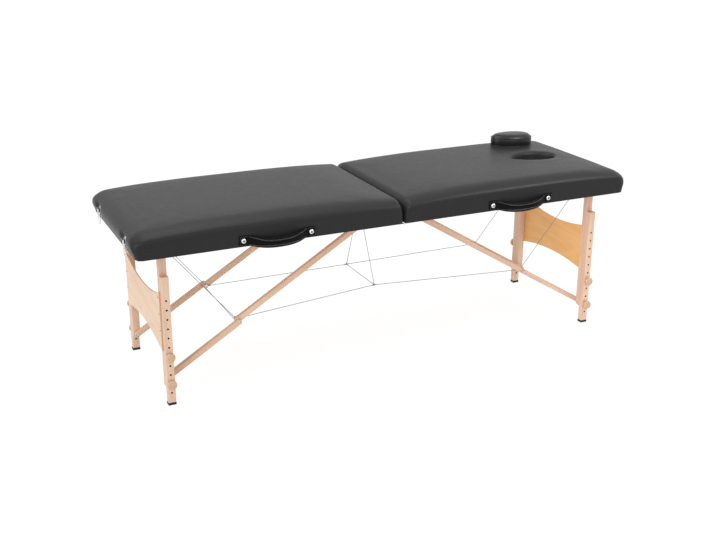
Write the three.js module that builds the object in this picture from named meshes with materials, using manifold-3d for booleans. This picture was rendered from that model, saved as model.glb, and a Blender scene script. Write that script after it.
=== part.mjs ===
// Folding massage table: two padded halves on wooden frames, hinged across the middle,
// with two pairs of folding wooden legs, jointed braces and steel stay cables.
// Millimetres, +Z up, +X towards the head end, -Y towards the side with the handles.

import * as THREE from "three";
import { mergeVertices } from "three/addons/utils/BufferGeometryUtils.js";
import Module from "manifold-3d";

const wasm = await Module();
wasm.setup();

// Overall sizes
const tableLength = 1850;
const tableWidth = 600;
const frameUnderside = 531; // above the floor, at the leg setting shown
const foldGap = 1.6; // between the two pads

// Clearances shared by all pieces
const seatGap = 0.3;
const overcut = 2; // how far every cut runs past its faces
const weld = 0.5; // overlap of two shapes joined in one piece

// Frame and deck
const railHeight = 36;
const railThickness = 20;
const deckThickness = 3;
const cornerBlockLeg = 34;
const pivotBlockLength = 44;
const bracketLength = 17; // past the brace pivot
const bracketThickness = 12;

// Upholstery
const skirtThickness = 4;
const foamThickness = 41;
const middleRise = 11;
const crownRise = 4;
const edgeRound = 27;
const padCornerRadius = 24;
const sidePull = 3; // how far the sides draw in between the corners
const faceHoleLength = 182;
const faceHoleWidth = 110;
const faceHoleEggShare = 0.12; // wider by this share at the head end, narrower at the other
const faceHoleFromEnd = 211;
const faceHoleRound = 14;

// Plug of the face hole, lying on the pad
const plugThickness = 44;
const plugClearance = 1.5; // smaller than the hole all round
const plugFromEnd = 178;
const plugFromSide = 93;
const plugRound = 12;
const plugCrown = 9;
const plugTopShares = [0.25, 0.5, 0.8]; // of the way in from the rounded edge

// Fold hinge
const hingeLeafThickness = 1.2;
const hingeLeafWidth = 22;
const hingeKnuckleRadius = 3;
const hingePinRadius = 1.3;
const hingeKnuckleLength = 49;
const hingeKnuckleGap = 1;

// Legs
const legFromEnd = 97;
const legPivotRise = 16.8; // above the frame's underside
const legPivotRadius = 4;
const postDepth = 26;
const postWidth = 22;
const postEase = 1.5;
const postBottom = 60;
const postBevel = 9;
const extensionTopDrop = 81; // below the frame's underside
const holePitch = 32.5;
const holeTopMargin = 60; // least wood above the highest hole
const holeRadius = 3.3;
const lowerBoltHeight = 77;
const upperBoltSteps = 3; // hole pitches from the lower bolt to the upper one
const lowestHoleSteps = 1; // hole pitches from the lower bolt down to the lowest hole
const rubberHeight = 8;
const rubberOverhang = 0.8;
const rubberEase = 1;

// Knobs and their bolts
const boltRadius = 3;
const boltHeadRadius = 6.5;
const boltHeadThickness = 2.6;
const boltHeadSink = 0.6;
const knobRadius = 16;
const knobHubRadius = 9;
const knobHubThickness = 4;
const knobThickness = 13;
const knobEase = 3.5;

// End panels
const panelThickness = 4;
const panelTopMiddle = 356;
const panelTopPost = 385;
const panelTopEdge = 396;
const panelBottomMiddle = 217;
const panelBottomPost = 194;
const panelBottomEdge = 188;

// Braces
const braceThickness = 18;
const braceHalfHeight = 9;
const braceEase = 1.5;
const braceLaneFromSide = 131; // inner face of the upper braces
const bracePivotFromFold = 60;
const bracePivotRise = 9.8; // above the frame's underside
const kneePinHeadRadius = 7.5;
const kneePinHeadThickness = 3;

// Stay cables
const wireRadius = 1;
const eyeWidth = 2.1;
const eyeWall = 2.4;
const netDrop = 281; // from the frame's underside down to the net's middle
const netHalfWidth = 120;
const netFromFold = 27;
const netApexFromFold = 33;
const netApexRise = 7; // above the frame's underside

// Carrying handles
const handleBoltSpan = 233;
const handleFromFold = 463.5; // handle's middle
const handleBoltRise = 21; // above the frame's underside
const handleTabLength = 30;
const handleTabHeight = 34;
const handleTabThickness = 4;
const handleGripHeight = 33;
const handleGripThickness = 13;
const handleGripGap = 13; // finger room behind the grip
const handleSag = 13;
const handleEase = 4;

// Latches on the foot end
const latchFromSide = 118;
const latchPlateThickness = 1.6;
const latchPlateWidth = 26;
const latchPlateRise = 9; // plate's lower edge above the frame's underside
const latchPlateHeight = 40;
const latchPlateEase = 4;
const latchPivotRise = 17;
const latchPivotOut = 7;
const latchEarThickness = 1.5;
const latchEarRadius = 4;
const latchEarSpan = 18.4; // between the two ears
const latchPinRadius = 1.8;
const latchLeverWall = 1.4;
const latchLeverLength = 25;
const latchLeverNose = 3.5; // below the pivot
const latchLipReach = 4;
const bailPivotRise = 10; // above the lever's pivot
const bailRadius = 1.3;
const bailDrop = 41;
const bailSideGap = 0.8;

// Keepers on the head end
const keeperRise = 4;
const keeperHeight = 26;
const keeperWidth = 22;
const keeperHookReach = 7;
const keeperHookWidth = 12;
const keeperHookHeight = 8;
const keeperThickness = 1.8;

// Faces round a full turn
const roundSides = 16;
const turnedSides = 12;
const boreSides = 10;
const wireSides = 6;
const hingeSides = 10;
const ovalSides = 32;
const bailSteps = 30;
const panelCurveSteps = 14;
const roundingFaces = 4;
const cornerDivisions = 2;
const handleSteps = 12;

// Heights and places that follow from the sizes above
const halfLength = tableLength / 2;
const halfWidth = tableWidth / 2;
const frameTop = frameUnderside + railHeight;
const deckBottom = frameTop + seatGap;
const deckTop = deckBottom + deckThickness;
const padBottom = deckTop + seatGap;
const padTopEdge = padBottom + foamThickness;
const padStart = foldGap / 2;
const frameStart = padStart + skirtThickness + seatGap;
const frameEnd = halfLength - skirtThickness - seatGap;
const frameSide = halfWidth - skirtThickness - seatGap;
const railInner = frameSide - railThickness;
const frameCornerRadius = padCornerRadius - skirtThickness - seatGap;

const braceLaneStart = halfWidth - braceLaneFromSide;
const upperLane = [braceLaneStart, braceLaneStart + braceThickness];
const lowerLane = [upperLane[1] + seatGap, upperLane[1] + seatGap + braceThickness];
const postLane = [lowerLane[1] + seatGap, lowerLane[1] + seatGap + postWidth];
const extensionLane = [postLane[1] + seatGap, postLane[1] + seatGap + postWidth];

const legX = halfLength - legFromEnd;
const legPivotZ = frameUnderside + legPivotRise;
const upperBoltHeight = lowerBoltHeight + upperBoltSteps * holePitch;
const lowestHole = lowerBoltHeight - lowestHoleSteps * holePitch;
const extensionTop = frameUnderside - extensionTopDrop;
const holeCount = 1 + Math.floor((extensionTop - holeTopMargin - lowestHole) / holePitch);
const bracePivotX = bracePivotFromFold;
const bracePivotZ = frameUnderside + bracePivotRise;

const holeX = halfLength - faceHoleFromEnd;
const plugX = halfLength - plugFromEnd;
const plugFromMiddle = halfWidth - plugFromSide;

const hingeLeafTop = frameUnderside - seatGap;
const hingeAxisZ = hingeLeafTop - hingeKnuckleRadius;

// The braces fold flat: knee, brace pivot and lower bolt lie in one line both when the leg
// stands and when it is folded in beside the frame.
const kneePoint = foldFlatKnee();

function foldFlatKnee() {
  const run = legX - bracePivotX;
  const fall = bracePivotZ - lowerBoltHeight;
  const straight = Math.hypot(run, fall);
  const foldedRun = legX - (legPivotZ - lowerBoltHeight) - bracePivotX;
  const foldedRise = bracePivotZ - legPivotZ;
  const upper = (straight ** 2 - foldedRun ** 2 - foldedRise ** 2) / (2 * (straight - foldedRun));
  const share = upper / straight;
  return { x: bracePivotX + run * share, z: bracePivotZ - fall * share };
}

// Solids

function solidOf(source) {
  let geometry = source.clone();
  geometry.deleteAttribute("normal");
  geometry.deleteAttribute("uv");
  geometry = mergeVertices(geometry);
  const corners = geometry.index.array;
  const kept = [];
  for (let i = 0; i < corners.length; i += 3) {
    const [a, b, c] = [corners[i], corners[i + 1], corners[i + 2]];
    if (a !== b && b !== c && a !== c) kept.push(a, b, c);
  }
  return new wasm.Manifold(new wasm.Mesh({
    numProp: 3,
    vertProperties: new Float32Array(geometry.attributes.position.array),
    triVerts: new Uint32Array(kept),
  }));
}

function geometryOf(solid) {
  const result = solid.getMesh();
  const geometry = new THREE.BufferGeometry();
  geometry.setAttribute("position", new THREE.BufferAttribute(result.vertProperties, result.numProp));
  geometry.setIndex(new THREE.BufferAttribute(result.triVerts, 1));
  const faceted = geometry.toNonIndexed();
  faceted.computeVertexNormals();
  return faceted;
}

function joined(solids) {
  return solids.reduce((whole, piece) => whole.add(piece));
}

function cutBy(solid, cutters) {
  return cutters.reduce((rest, cutter) => rest.subtract(cutter), solid);
}

// A box between pairs of limits, given in any order.
function block(xs, ys, zs) {
  const size = [xs, ys, zs].map(([a, b]) => Math.abs(b - a));
  const geometry = new THREE.BoxGeometry(...size);
  geometry.translate((xs[0] + xs[1]) / 2, (ys[0] + ys[1]) / 2, (zs[0] + zs[1]) / 2);
  return solidOf(geometry);
}

function extruded(outline, depth, ease, curveSegments) {
  const geometry = new THREE.ExtrudeGeometry(outline, {
    depth: depth - 2 * ease,
    bevelEnabled: ease > 0,
    bevelThickness: ease,
    bevelSize: ease,
    bevelOffset: -ease,
    bevelSegments: 1,
    curveSegments,
  });
  geometry.translate(0, 0, ease);
  return geometry;
}

// An outline drawn in X and Z, made solid between two places along Y.
function acrossY(outline, ys, ease = 0, curveSegments = 3) {
  const geometry = extruded(outline, Math.abs(ys[1] - ys[0]), ease, curveSegments);
  geometry.rotateX(Math.PI / 2);
  geometry.translate(0, Math.max(...ys), 0);
  return solidOf(geometry);
}

// An outline drawn in Y and Z, made solid between two places along X.
function acrossX(outline, xs, ease = 0, curveSegments = 3) {
  const geometry = extruded(outline, Math.abs(xs[1] - xs[0]), ease, curveSegments);
  const turn = new THREE.Matrix4().makeBasis(
    new THREE.Vector3(0, 1, 0),
    new THREE.Vector3(0, 0, 1),
    new THREE.Vector3(1, 0, 0),
  );
  geometry.applyMatrix4(turn);
  geometry.translate(Math.min(...xs), 0, 0);
  return solidOf(geometry);
}

// An outline drawn in X and Y, made solid between two heights.
function acrossZ(outline, zs, ease = 0, curveSegments = 3) {
  const geometry = extruded(outline, Math.abs(zs[1] - zs[0]), ease, curveSegments);
  geometry.translate(0, 0, Math.min(...zs));
  return solidOf(geometry);
}

function rodAlongY(radius, ys, x, z, sides = roundSides) {
  const geometry = new THREE.CylinderGeometry(radius, radius, Math.abs(ys[1] - ys[0]), sides);
  geometry.translate(x, (ys[0] + ys[1]) / 2, z);
  return solidOf(geometry);
}

// A cutter whose flats, not its corners, lie at the given radius.
function bore(radius, ys, x, z, sides = boreSides) {
  return rodAlongY(radius / Math.cos(Math.PI / sides), ys, x, z, sides);
}

// A straight round wire between two points.
function wire(from, to) {
  const start = new THREE.Vector3(...from);
  const end = new THREE.Vector3(...to);
  const span = end.clone().sub(start);
  const geometry = new THREE.CylinderGeometry(wireRadius, wireRadius, span.length(), wireSides);
  const turn = new THREE.Quaternion().setFromUnitVectors(new THREE.Vector3(0, 1, 0), span.normalize());
  geometry.applyQuaternion(turn);
  geometry.translate(...start.add(end).multiplyScalar(1 / 2).toArray());
  return solidOf(geometry);
}

// A crimped eye round a pin along Y.
function eye(pinRadius, ys, x, z) {
  const inner = pinRadius + seatGap;
  const ring = rodAlongY(inner + eyeWall, ys, x, z, boreSides);
  return ring.subtract(bore(inner, grown(ys), x, z));
}

function grown([low, high]) {
  const way = Math.sign(high - low);
  return [low - way * overcut, high + way * overcut];
}

function facing(way, lane) {
  return lane.map((distance) => way * distance);
}

function rectangle(xLow, xHigh, yLow, yHigh, radius) {
  const outline = new THREE.Shape();
  outline.absarc(xHigh - radius, yHigh - radius, radius, 0, Math.PI / 2);
  outline.absarc(xLow + radius, yHigh - radius, radius, Math.PI / 2, Math.PI);
  outline.absarc(xLow + radius, yLow + radius, radius, Math.PI, Math.PI * 3 / 2);
  outline.absarc(xHigh - radius, yLow + radius, radius, Math.PI * 3 / 2, Math.PI * 2);
  return outline;
}

// A bar with round ends between two points of its outline's plane.
function barOutline(from, to, halfHeight) {
  const angle = Math.atan2(to.z - from.z, to.x - from.x);
  const outline = new THREE.Shape();
  outline.absarc(to.x, to.z, halfHeight, angle - Math.PI / 2, angle + Math.PI / 2);
  outline.absarc(from.x, from.z, halfHeight, angle + Math.PI / 2, angle + Math.PI * 3 / 2);
  return outline;
}

function finish(color, roughness, metalness) {
  return new THREE.MeshStandardMaterial({ color, roughness, metalness });
}

const table = new THREE.Group();

function place(name, solid, material) {
  const mesh = new THREE.Mesh(geometryOf(solid), material());
  mesh.name = name;
  table.add(mesh);
}

const vinyl = () => finish(0x2b2b2d, 0.45, 0);
const beech = () => finish(0xe3bd9d, 0.55, 0);
const plywood = () => finish(0xe6c08c, 0.6, 0);
const knobWood = () => finish(0xd2a473, 0.5, 0);
const rubber = () => finish(0x161412, 0.85, 0);
const steel = () => finish(0xc9ccd0, 0.25, 1);
const brightWire = () => finish(0xb9bcc0, 0.35, 1);

// Upholstered pads

const cornerSteps = 4;
const longSideSteps = 7;
const shortSideSteps = 6;
const roundingSteps = 5;
const crownRingShares = [0.06, 0.17, 0.36, 0.62, 0.88];

// How much of the crown a point of the top has, from 0 at the rounded edge to 1 in the middle.
function crownShare(x, y) {
  const middle = (padStart + halfLength) / 2;
  const across = Math.min(1, Math.abs(Math.abs(x) - middle) / (halfLength - middle - edgeRound));
  const along = Math.min(1, Math.abs(y) / (halfWidth - edgeRound));
  return (1 - across ** 4) * (1 - along ** 4);
}

// The height of a pad's top edge, which rises from the pad's ends to its middle.
function edgeTopAt(x) {
  const middle = (padStart + halfLength) / 2;
  const across = Math.min(1, Math.abs(Math.abs(x) - middle) / (halfLength - middle));
  return padTopEdge + middleRise * (1 - across ** 3);
}

function padTopAt(x, y) {
  return edgeTopAt(x) + crownRise * crownShare(x, y);
}

// A ring of the pad: a rectangle with round corners whose sides draw in between them.
function padRing(inset, pull) {
  const radius = Math.max(padCornerRadius - inset / 2, padCornerRadius / 2);
  const low = { x: padStart + inset, y: -halfWidth + inset };
  const high = { x: halfLength - inset, y: halfWidth - inset };
  const corners = [
    { x: high.x - radius, y: high.y - radius, start: 0, steps: shortSideSteps },
    { x: low.x + radius, y: high.y - radius, start: Math.PI / 2, steps: longSideSteps },
    { x: low.x + radius, y: low.y + radius, start: Math.PI, steps: shortSideSteps },
    { x: high.x - radius, y: low.y + radius, start: Math.PI * 3 / 2, steps: longSideSteps },
  ];
  const points = [];
  corners.forEach((corner, index) => {
    const last = corners[(index + 3) % 4];
    const from = new THREE.Vector2(last.x, last.y)
      .add(new THREE.Vector2(Math.cos(corner.start), Math.sin(corner.start)).multiplyScalar(radius));
    const to = new THREE.Vector2(corner.x, corner.y)
      .add(new THREE.Vector2(Math.cos(corner.start), Math.sin(corner.start)).multiplyScalar(radius));
    for (let step = 1; step < corner.steps; step += 1) {
      const share = step / corner.steps;
      const drawn = pull * (1 - (2 * share - 1) ** 2);
      const point = from.clone().lerp(to, share);
      point.x -= Math.cos(corner.start) * drawn;
      point.y -= Math.sin(corner.start) * drawn;
      points.push(point);
    }
    for (let step = 0; step <= cornerSteps; step += 1) {
      const angle = corner.start + (Math.PI / 2) * (step / cornerSteps);
      points.push(new THREE.Vector2(corner.x + radius * Math.cos(angle), corner.y + radius * Math.sin(angle)));
    }
  });
  return points;
}

// A closed body through rings of equal count, with a flat cap below and above.
function loft(rings) {
  const count = rings[0].length;
  const positions = rings.flat(2);
  const faces = [];
  for (let ring = 0; ring + 1 < rings.length; ring += 1) {
    for (let i = 0; i < count; i += 1) {
      const j = (i + 1) % count;
      const [a, b, c, d] = [ring * count + i, ring * count + j, (ring + 1) * count + j, (ring + 1) * count + i];
      faces.push(a, b, c, a, c, d);
    }
  }
  for (const ring of [rings[0], rings[rings.length - 1]]) {
    const middle = [0, 1, 2].map((axis) => ring.reduce((sum, point) => sum + point[axis], 0) / count);
    const hub = positions.length / 3;
    positions.push(...middle);
    const first = ring === rings[0] ? 0 : (rings.length - 1) * count;
    for (let i = 0; i < count; i += 1) {
      const j = (i + 1) % count;
      if (ring === rings[0]) faces.push(hub, first + j, first + i);
      else faces.push(hub, first + i, first + j);
    }
  }
  const geometry = new THREE.BufferGeometry();
  geometry.setAttribute("position", new THREE.Float32BufferAttribute(positions, 3));
  geometry.setIndex(faces);
  return solidOf(geometry);
}

function padBody() {
  const ringAt = (inset, pull, height) => padRing(inset, pull).map((p) => [p.x, p.y, height(p)]);
  const sideTopAt = (p) => edgeTopAt(p.x) - edgeRound;
  const rings = [
    ringAt(0, 0, () => frameUnderside),
    ringAt(0, 0, () => frameTop),
    ringAt(0, sidePull, sideTopAt),
  ];
  for (let step = 1; step <= roundingSteps; step += 1) {
    const angle = (Math.PI / 2) * (step / roundingSteps);
    const inset = edgeRound * (1 - Math.cos(angle));
    const pull = sidePull * Math.cos(angle);
    rings.push(ringAt(inset, pull, (p) => sideTopAt(p) + edgeRound * Math.sin(angle)));
  }
  const flatHalf = halfWidth - edgeRound;
  for (const share of crownRingShares) {
    rings.push(ringAt(edgeRound + flatHalf * share, 0, (p) => padTopAt(p.x, p.y)));
  }
  return loft(rings);
}

// The egg shape of the face hole or its plug, grown by an offset.
function ovalRing(x, y, offset, height) {
  const points = [];
  for (let i = 0; i < ovalSides; i += 1) {
    const angle = (i / ovalSides) * Math.PI * 2;
    points.push([
      x + (faceHoleLength / 2 + offset) * Math.cos(angle),
      y + (faceHoleWidth / 2 + offset) * Math.sin(angle) * (1 + faceHoleEggShare * Math.cos(angle)),
      height,
    ]);
  }
  return points;
}

// The cutter of the face hole, whose rounded lip follows the pad's top.
function faceHoleCutter() {
  const lipRing = (offset, drop) => ovalRing(holeX, 0, offset, 0).map(([x, y]) => [x, y, padTopAt(x, y) - drop]);
  const rings = [ovalRing(holeX, 0, 0, frameUnderside - overcut), lipRing(0, faceHoleRound)];
  for (let step = 1; step < roundingFaces; step += 1) {
    const angle = (Math.PI / 2) * (step / roundingFaces);
    rings.push(lipRing(faceHoleRound * (1 - Math.cos(angle)), faceHoleRound * (1 - Math.sin(angle))));
  }
  rings.push(lipRing(faceHoleRound, -crownRise));
  return loft(rings);
}

function cushion(side) {
  const pocket = acrossZ(rectangle(
    padStart + skirtThickness,
    halfLength - skirtThickness,
    -halfWidth + skirtThickness,
    halfWidth - skirtThickness,
    frameCornerRadius + seatGap,
  ), [frameUnderside - overcut, padBottom], 0, cornerDivisions);
  let pad = padBody().subtract(pocket);
  if (side > 0) pad = pad.subtract(faceHoleCutter());
  return side > 0 ? pad : pad.mirror([1, 0, 0]);
}

// The plug lies on the pad and leans with its slope.
function facePlug() {
  const reach = faceHoleWidth / 2;
  const slope = (padTopAt(plugX + reach, plugFromMiddle) - padTopAt(plugX - reach, plugFromMiddle)) / (2 * reach);
  const leaning = (offset, height) => ovalRing(plugX, plugFromMiddle, offset, height)
    .map(([x, y, z]) => [x, y, z + slope * (x - plugX)]);
  const foot = leaning(-plugClearance - plugRound / 2, 0);
  const base = Math.max(...foot.map(([x, y, z]) => padTopAt(x, y) - z)) + seatGap;
  const rings = [];
  for (let step = 0; step <= roundingFaces; step += 1) {
    const angle = (Math.PI / 2) * (step / roundingFaces);
    const offset = -plugClearance - plugRound / 2 * (1 - Math.sin(angle));
    rings.push(leaning(offset, base + plugRound / 2 * (1 - Math.cos(angle))));
  }
  for (let step = 0; step <= roundingFaces; step += 1) {
    const angle = (Math.PI / 2) * (step / roundingFaces);
    const offset = -plugClearance - plugRound * (1 - Math.cos(angle));
    rings.push(leaning(offset, base + plugThickness - plugCrown - plugRound + plugRound * Math.sin(angle)));
  }
  for (const share of plugTopShares) {
    const offset = -plugClearance - plugRound - (reach - plugRound) * share;
    rings.push(leaning(offset, base + plugThickness - plugCrown * (1 - share) ** 2));
  }
  return loft(rings);
}

// Decks and frames

// The outline of the head half's deck and frame, inside the pad's skirt.
function boardOutline() {
  return rectangle(frameStart, frameEnd, -frameSide, frameSide, frameCornerRadius);
}

function deck(side) {
  const board = acrossZ(boardOutline(), [deckBottom, deckTop], 0, cornerDivisions);
  if (side < 0) return board.mirror([1, 0, 0]);
  const heights = [deckBottom - overcut, deckTop + overcut];
  return board.subtract(loft(heights.map((height) => ovalRing(holeX, 0, 0, height))));
}

// Frame of the head half; the foot half's is its mirror image. Rails, corner blocks, the
// blocks of the leg pivots and the cheeks of the brace pivots are one glued-up board outline.
function frame(side) {
  const outline = boardOutline();
  const flank = frameInnerEdge();
  const mirrored = flank.map(([x, y]) => [x, -y]).reverse();
  outline.holes.push(new THREE.Path([...flank, ...mirrored].map(([x, y]) => new THREE.Vector2(x, y))));
  const bores = [-1, 1].map((way) => bore(
    legPivotRadius + seatGap,
    facing(way, [postLane[1] - weld, railInner - seatGap]),
    legX,
    legPivotZ,
  ));
  bores.push(bore(
    legPivotRadius + seatGap,
    [-bracePivotReach() - overcut, bracePivotReach() + overcut],
    bracePivotX,
    bracePivotZ,
  ));
  const whole = cutBy(acrossZ(outline, [frameUnderside, frameTop], 0, cornerDivisions), bores);
  return side > 0 ? whole : whole.mirror([1, 0, 0]);
}

// The inner edge of one flank of the frame, from the centre rail to the end rail.
function frameInnerEdge() {
  const centreRail = frameStart + railThickness;
  const endRail = frameEnd - railThickness;
  const bracket = bracePivotX + bracketLength;
  const cheekGap = [upperLane[0] - seatGap, upperLane[1] + seatGap];
  const pivotBlock = [legX - pivotBlockLength / 2, legX + pivotBlockLength / 2];
  const pivotFace = postLane[1] + seatGap;
  return [
    [centreRail, cheekGap[0] - bracketThickness],
    [bracket, cheekGap[0] - bracketThickness],
    [bracket, cheekGap[0]],
    [centreRail, cheekGap[0]],
    [centreRail, cheekGap[1]],
    [bracket, cheekGap[1]],
    [bracket, cheekGap[1] + bracketThickness],
    [centreRail, cheekGap[1] + bracketThickness],
    [centreRail, railInner - cornerBlockLeg],
    [centreRail + cornerBlockLeg, railInner],
    [pivotBlock[0], railInner],
    [pivotBlock[0], pivotFace],
    [pivotBlock[1], pivotFace],
    [pivotBlock[1], railInner],
    [endRail - cornerBlockLeg, railInner],
    [endRail, railInner - cornerBlockLeg],
  ];
}

function bracePivotReach() {
  return upperLane[1] + seatGap + bracketThickness;
}

function legPivotRod(side) {
  const reach = railInner - 2 * seatGap;
  return rodAlongY(legPivotRadius, [-reach, reach], side * legX, legPivotZ);
}

function bracePivotRod(side) {
  return rodAlongY(legPivotRadius, [-bracePivotReach(), bracePivotReach()], side * bracePivotX, bracePivotZ);
}

// Fold hinge under the two centre rails

function hingeKnuckles(side) {
  const pitch = hingeKnuckleLength + hingeKnuckleGap;
  const count = Math.floor((2 * frameSide) / pitch);
  const start = -(count * pitch) / 2;
  const knuckles = [];
  for (let i = 0; i < count; i += 1) {
    const ownsKnuckle = side < 0 ? i % 2 === 0 : i % 2 === 1;
    if (ownsKnuckle) {
      const low = start + i * pitch + hingeKnuckleGap / 2;
      knuckles.push([low, low + hingeKnuckleLength]);
    }
  }
  return knuckles;
}

function hingeLeaf(side) {
  const inner = hingeKnuckleRadius + hingeKnuckleGap / 2;
  const plate = [hingeLeafTop - hingeLeafThickness, hingeLeafTop];
  const knuckles = hingeKnuckles(side);
  const parts = [block([side * inner, side * (inner + hingeLeafWidth)], [-frameSide, frameSide], plate)];
  for (const ys of knuckles) {
    parts.push(rodAlongY(hingeKnuckleRadius, ys, 0, hingeAxisZ, hingeSides));
    parts.push(block([0, side * (inner + weld)], ys, plate));
  }
  const leaf = joined(parts);
  if (side < 0) return leaf.add(rodAlongY(hingePinRadius, [-frameSide, frameSide], 0, hingeAxisZ, hingeSides));
  return leaf.subtract(
    bore(hingePinRadius + seatGap, [-frameSide - overcut, frameSide + overcut], 0, hingeAxisZ, hingeSides),
  );
}

// Legs

function post(side, way) {
  const half = postDepth / 2;
  const x = side * legX;
  const outline = new THREE.Shape();
  outline.absarc(x, legPivotZ, half, 0, Math.PI);
  outline.lineTo(x - half, postBottom + (side > 0 ? postBevel : 0));
  outline.lineTo(x - half + (side > 0 ? postBevel : 0), postBottom);
  outline.lineTo(x + half - (side > 0 ? 0 : postBevel), postBottom);
  outline.lineTo(x + half, postBottom + (side > 0 ? 0 : postBevel));
  const ys = facing(way, postLane);
  const sink = facing(way, [postLane[0] - overcut, postLane[0] + boltHeadSink + boltHeadThickness + seatGap]);
  return cutBy(acrossY(outline, ys, postEase), [
    bore(legPivotRadius + seatGap, grown(ys), x, legPivotZ),
    bore(holeRadius, grown(ys), x, upperBoltHeight),
    bore(holeRadius, grown(ys), x, lowerBoltHeight),
    bore(boltHeadRadius + seatGap, sink, x, upperBoltHeight),
  ]);
}

function extension(side, way) {
  const half = postDepth / 2;
  const x = side * legX;
  const ys = facing(way, extensionLane);
  const bottom = rubberHeight + seatGap;
  const outline = rectangle(x - half, x + half, bottom, extensionTop, postEase);
  const holes = [];
  for (let step = 0; step < holeCount; step += 1) {
    holes.push(bore(holeRadius, grown(ys), x, lowestHole + step * holePitch));
  }
  return cutBy(acrossY(outline, ys, postEase, 1), holes);
}

function rubberTip(side, way) {
  const half = postDepth / 2 + rubberOverhang;
  const x = side * legX;
  const [low, high] = facing(way, extensionLane).sort((a, b) => a - b);
  const outline = rectangle(
    x - half, x + half, low - rubberOverhang, high + rubberOverhang, postEase + rubberOverhang,
  );
  return acrossZ(outline, [0, rubberHeight], rubberEase, 2);
}

// A turned knob with its bolt, as one profile from the sunk head to the knob's face.
function knob(side, way, height) {
  const lower = height === lowerBoltHeight;
  const head = (lower ? lowerLane[0] : postLane[0]) + boltHeadSink;
  const hub = extensionLane[1] + seatGap;
  const back = hub + knobHubThickness;
  const front = back + knobThickness;
  const profile = [
    [0, head],
    [boltHeadRadius, head],
    [boltHeadRadius, head + boltHeadThickness],
    [boltRadius, head + boltHeadThickness],
    [boltRadius, hub],
    [knobHubRadius, hub],
    [knobHubRadius, back],
    [knobRadius - knobEase, back],
    [knobRadius, back + knobEase],
    [knobRadius, front - knobEase],
    [knobRadius - knobEase, front],
    [0, front],
  ].map(([radius, along]) => new THREE.Vector2(radius, along));
  const geometry = new THREE.LatheGeometry(profile, turnedSides);
  if (way < 0) geometry.rotateX(Math.PI);
  geometry.translate(side * legX, 0, height);
  return solidOf(geometry);
}

function endPanel(side) {
  const edge = postLane[1];
  const post = postLane[0];
  const outline = new THREE.Shape();
  outline.moveTo(edge, panelBottomEdge);
  outline.lineTo(edge, panelTopEdge);
  outline.lineTo(post, panelTopPost);
  outline.quadraticCurveTo(0, 2 * panelTopMiddle - panelTopPost, -post, panelTopPost);
  outline.lineTo(-edge, panelTopEdge);
  outline.lineTo(-edge, panelBottomEdge);
  outline.lineTo(-post, panelBottomPost);
  outline.quadraticCurveTo(0, 2 * panelBottomMiddle - panelBottomPost, post, panelBottomPost);
  outline.closePath();
  const inner = legX + postDepth / 2 + seatGap;
  return acrossX(outline, [side * inner, side * (inner + panelThickness)], 0, panelCurveSteps);
}

// Braces

function upperBrace(side, way) {
  const from = { x: side * bracePivotX, z: bracePivotZ };
  const to = { x: side * kneePoint.x, z: kneePoint.z };
  const ys = facing(way, upperLane);
  return cutBy(acrossY(barOutline(from, to, braceHalfHeight), ys, braceEase), [
    bore(legPivotRadius + seatGap, grown(ys), from.x, from.z),
    bore(legPivotRadius + seatGap, grown(ys), to.x, to.z),
  ]);
}

function lowerBrace(side, way) {
  const from = { x: side * kneePoint.x, z: kneePoint.z };
  const to = { x: side * legX, z: lowerBoltHeight };
  const ys = facing(way, lowerLane);
  const sink = facing(way, [lowerLane[0] - overcut, lowerLane[0] + boltHeadSink + boltHeadThickness + seatGap]);
  return cutBy(acrossY(barOutline(from, to, braceHalfHeight), ys, braceEase), [
    bore(legPivotRadius + seatGap, grown(ys), from.x, from.z),
    bore(holeRadius, grown(ys), to.x, to.z),
    bore(boltHeadRadius + seatGap, sink, to.x, to.z),
  ]);
}

// Places along Y of what sits on a knee pin, from the brace's inner face inwards.
const netEyeLane = [upperLane[0] - seatGap, upperLane[0] - seatGap - eyeWidth];
const stayEyeLane = [netEyeLane[1] - seatGap, netEyeLane[1] - seatGap - eyeWidth];
const kneeHeadLane = [stayEyeLane[1] - seatGap, stayEyeLane[1] - seatGap - kneePinHeadThickness];

// The pin turns with the upper brace and stops where the lower brace begins.
function kneePin(side, way) {
  const x = side * kneePoint.x;
  const shank = facing(way, [kneeHeadLane[0] - weld, upperLane[1]]);
  return joined([
    rodAlongY(legPivotRadius, shank, x, kneePoint.z),
    rodAlongY(kneePinHeadRadius, facing(way, kneeHeadLane), x, kneePoint.z),
  ]);
}

// Stay cables

function middleOf([low, high]) {
  return (low + high) / 2;
}

// From the eye at the leg's pivot down to the knee, across to the other knee and up again.
function stayCable(side) {
  const knee = { x: side * kneePoint.x, z: kneePoint.z };
  const top = { x: side * legX, z: legPivotZ };
  const reach = legPivotRadius + seatGap + eyeWall / 2;
  const angle = Math.atan2(top.z - knee.z, top.x - knee.x);
  const y = middleOf(stayEyeLane);
  const parts = [];
  for (const way of [-1, 1]) {
    parts.push(eye(legPivotRadius, facing(way, stayEyeLane), top.x, top.z));
    parts.push(eye(legPivotRadius, facing(way, stayEyeLane), knee.x, knee.z));
    parts.push(wire(
      [knee.x + reach * Math.cos(angle), way * y, knee.z + reach * Math.sin(angle)],
      [top.x - reach * Math.cos(angle), way * y, top.z - reach * Math.sin(angle)],
    ));
  }
  const crossX = knee.x;
  const crossZ = knee.z - reach - kneePinHeadRadius / 2;
  for (const way of [-1, 1]) {
    parts.push(wire([knee.x, way * y, knee.z - reach], [crossX, way * y, crossZ - wireRadius]));
  }
  parts.push(wire([crossX, -y - wireRadius, crossZ], [crossX, y + wireRadius, crossZ]));
  return joined(parts);
}

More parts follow.
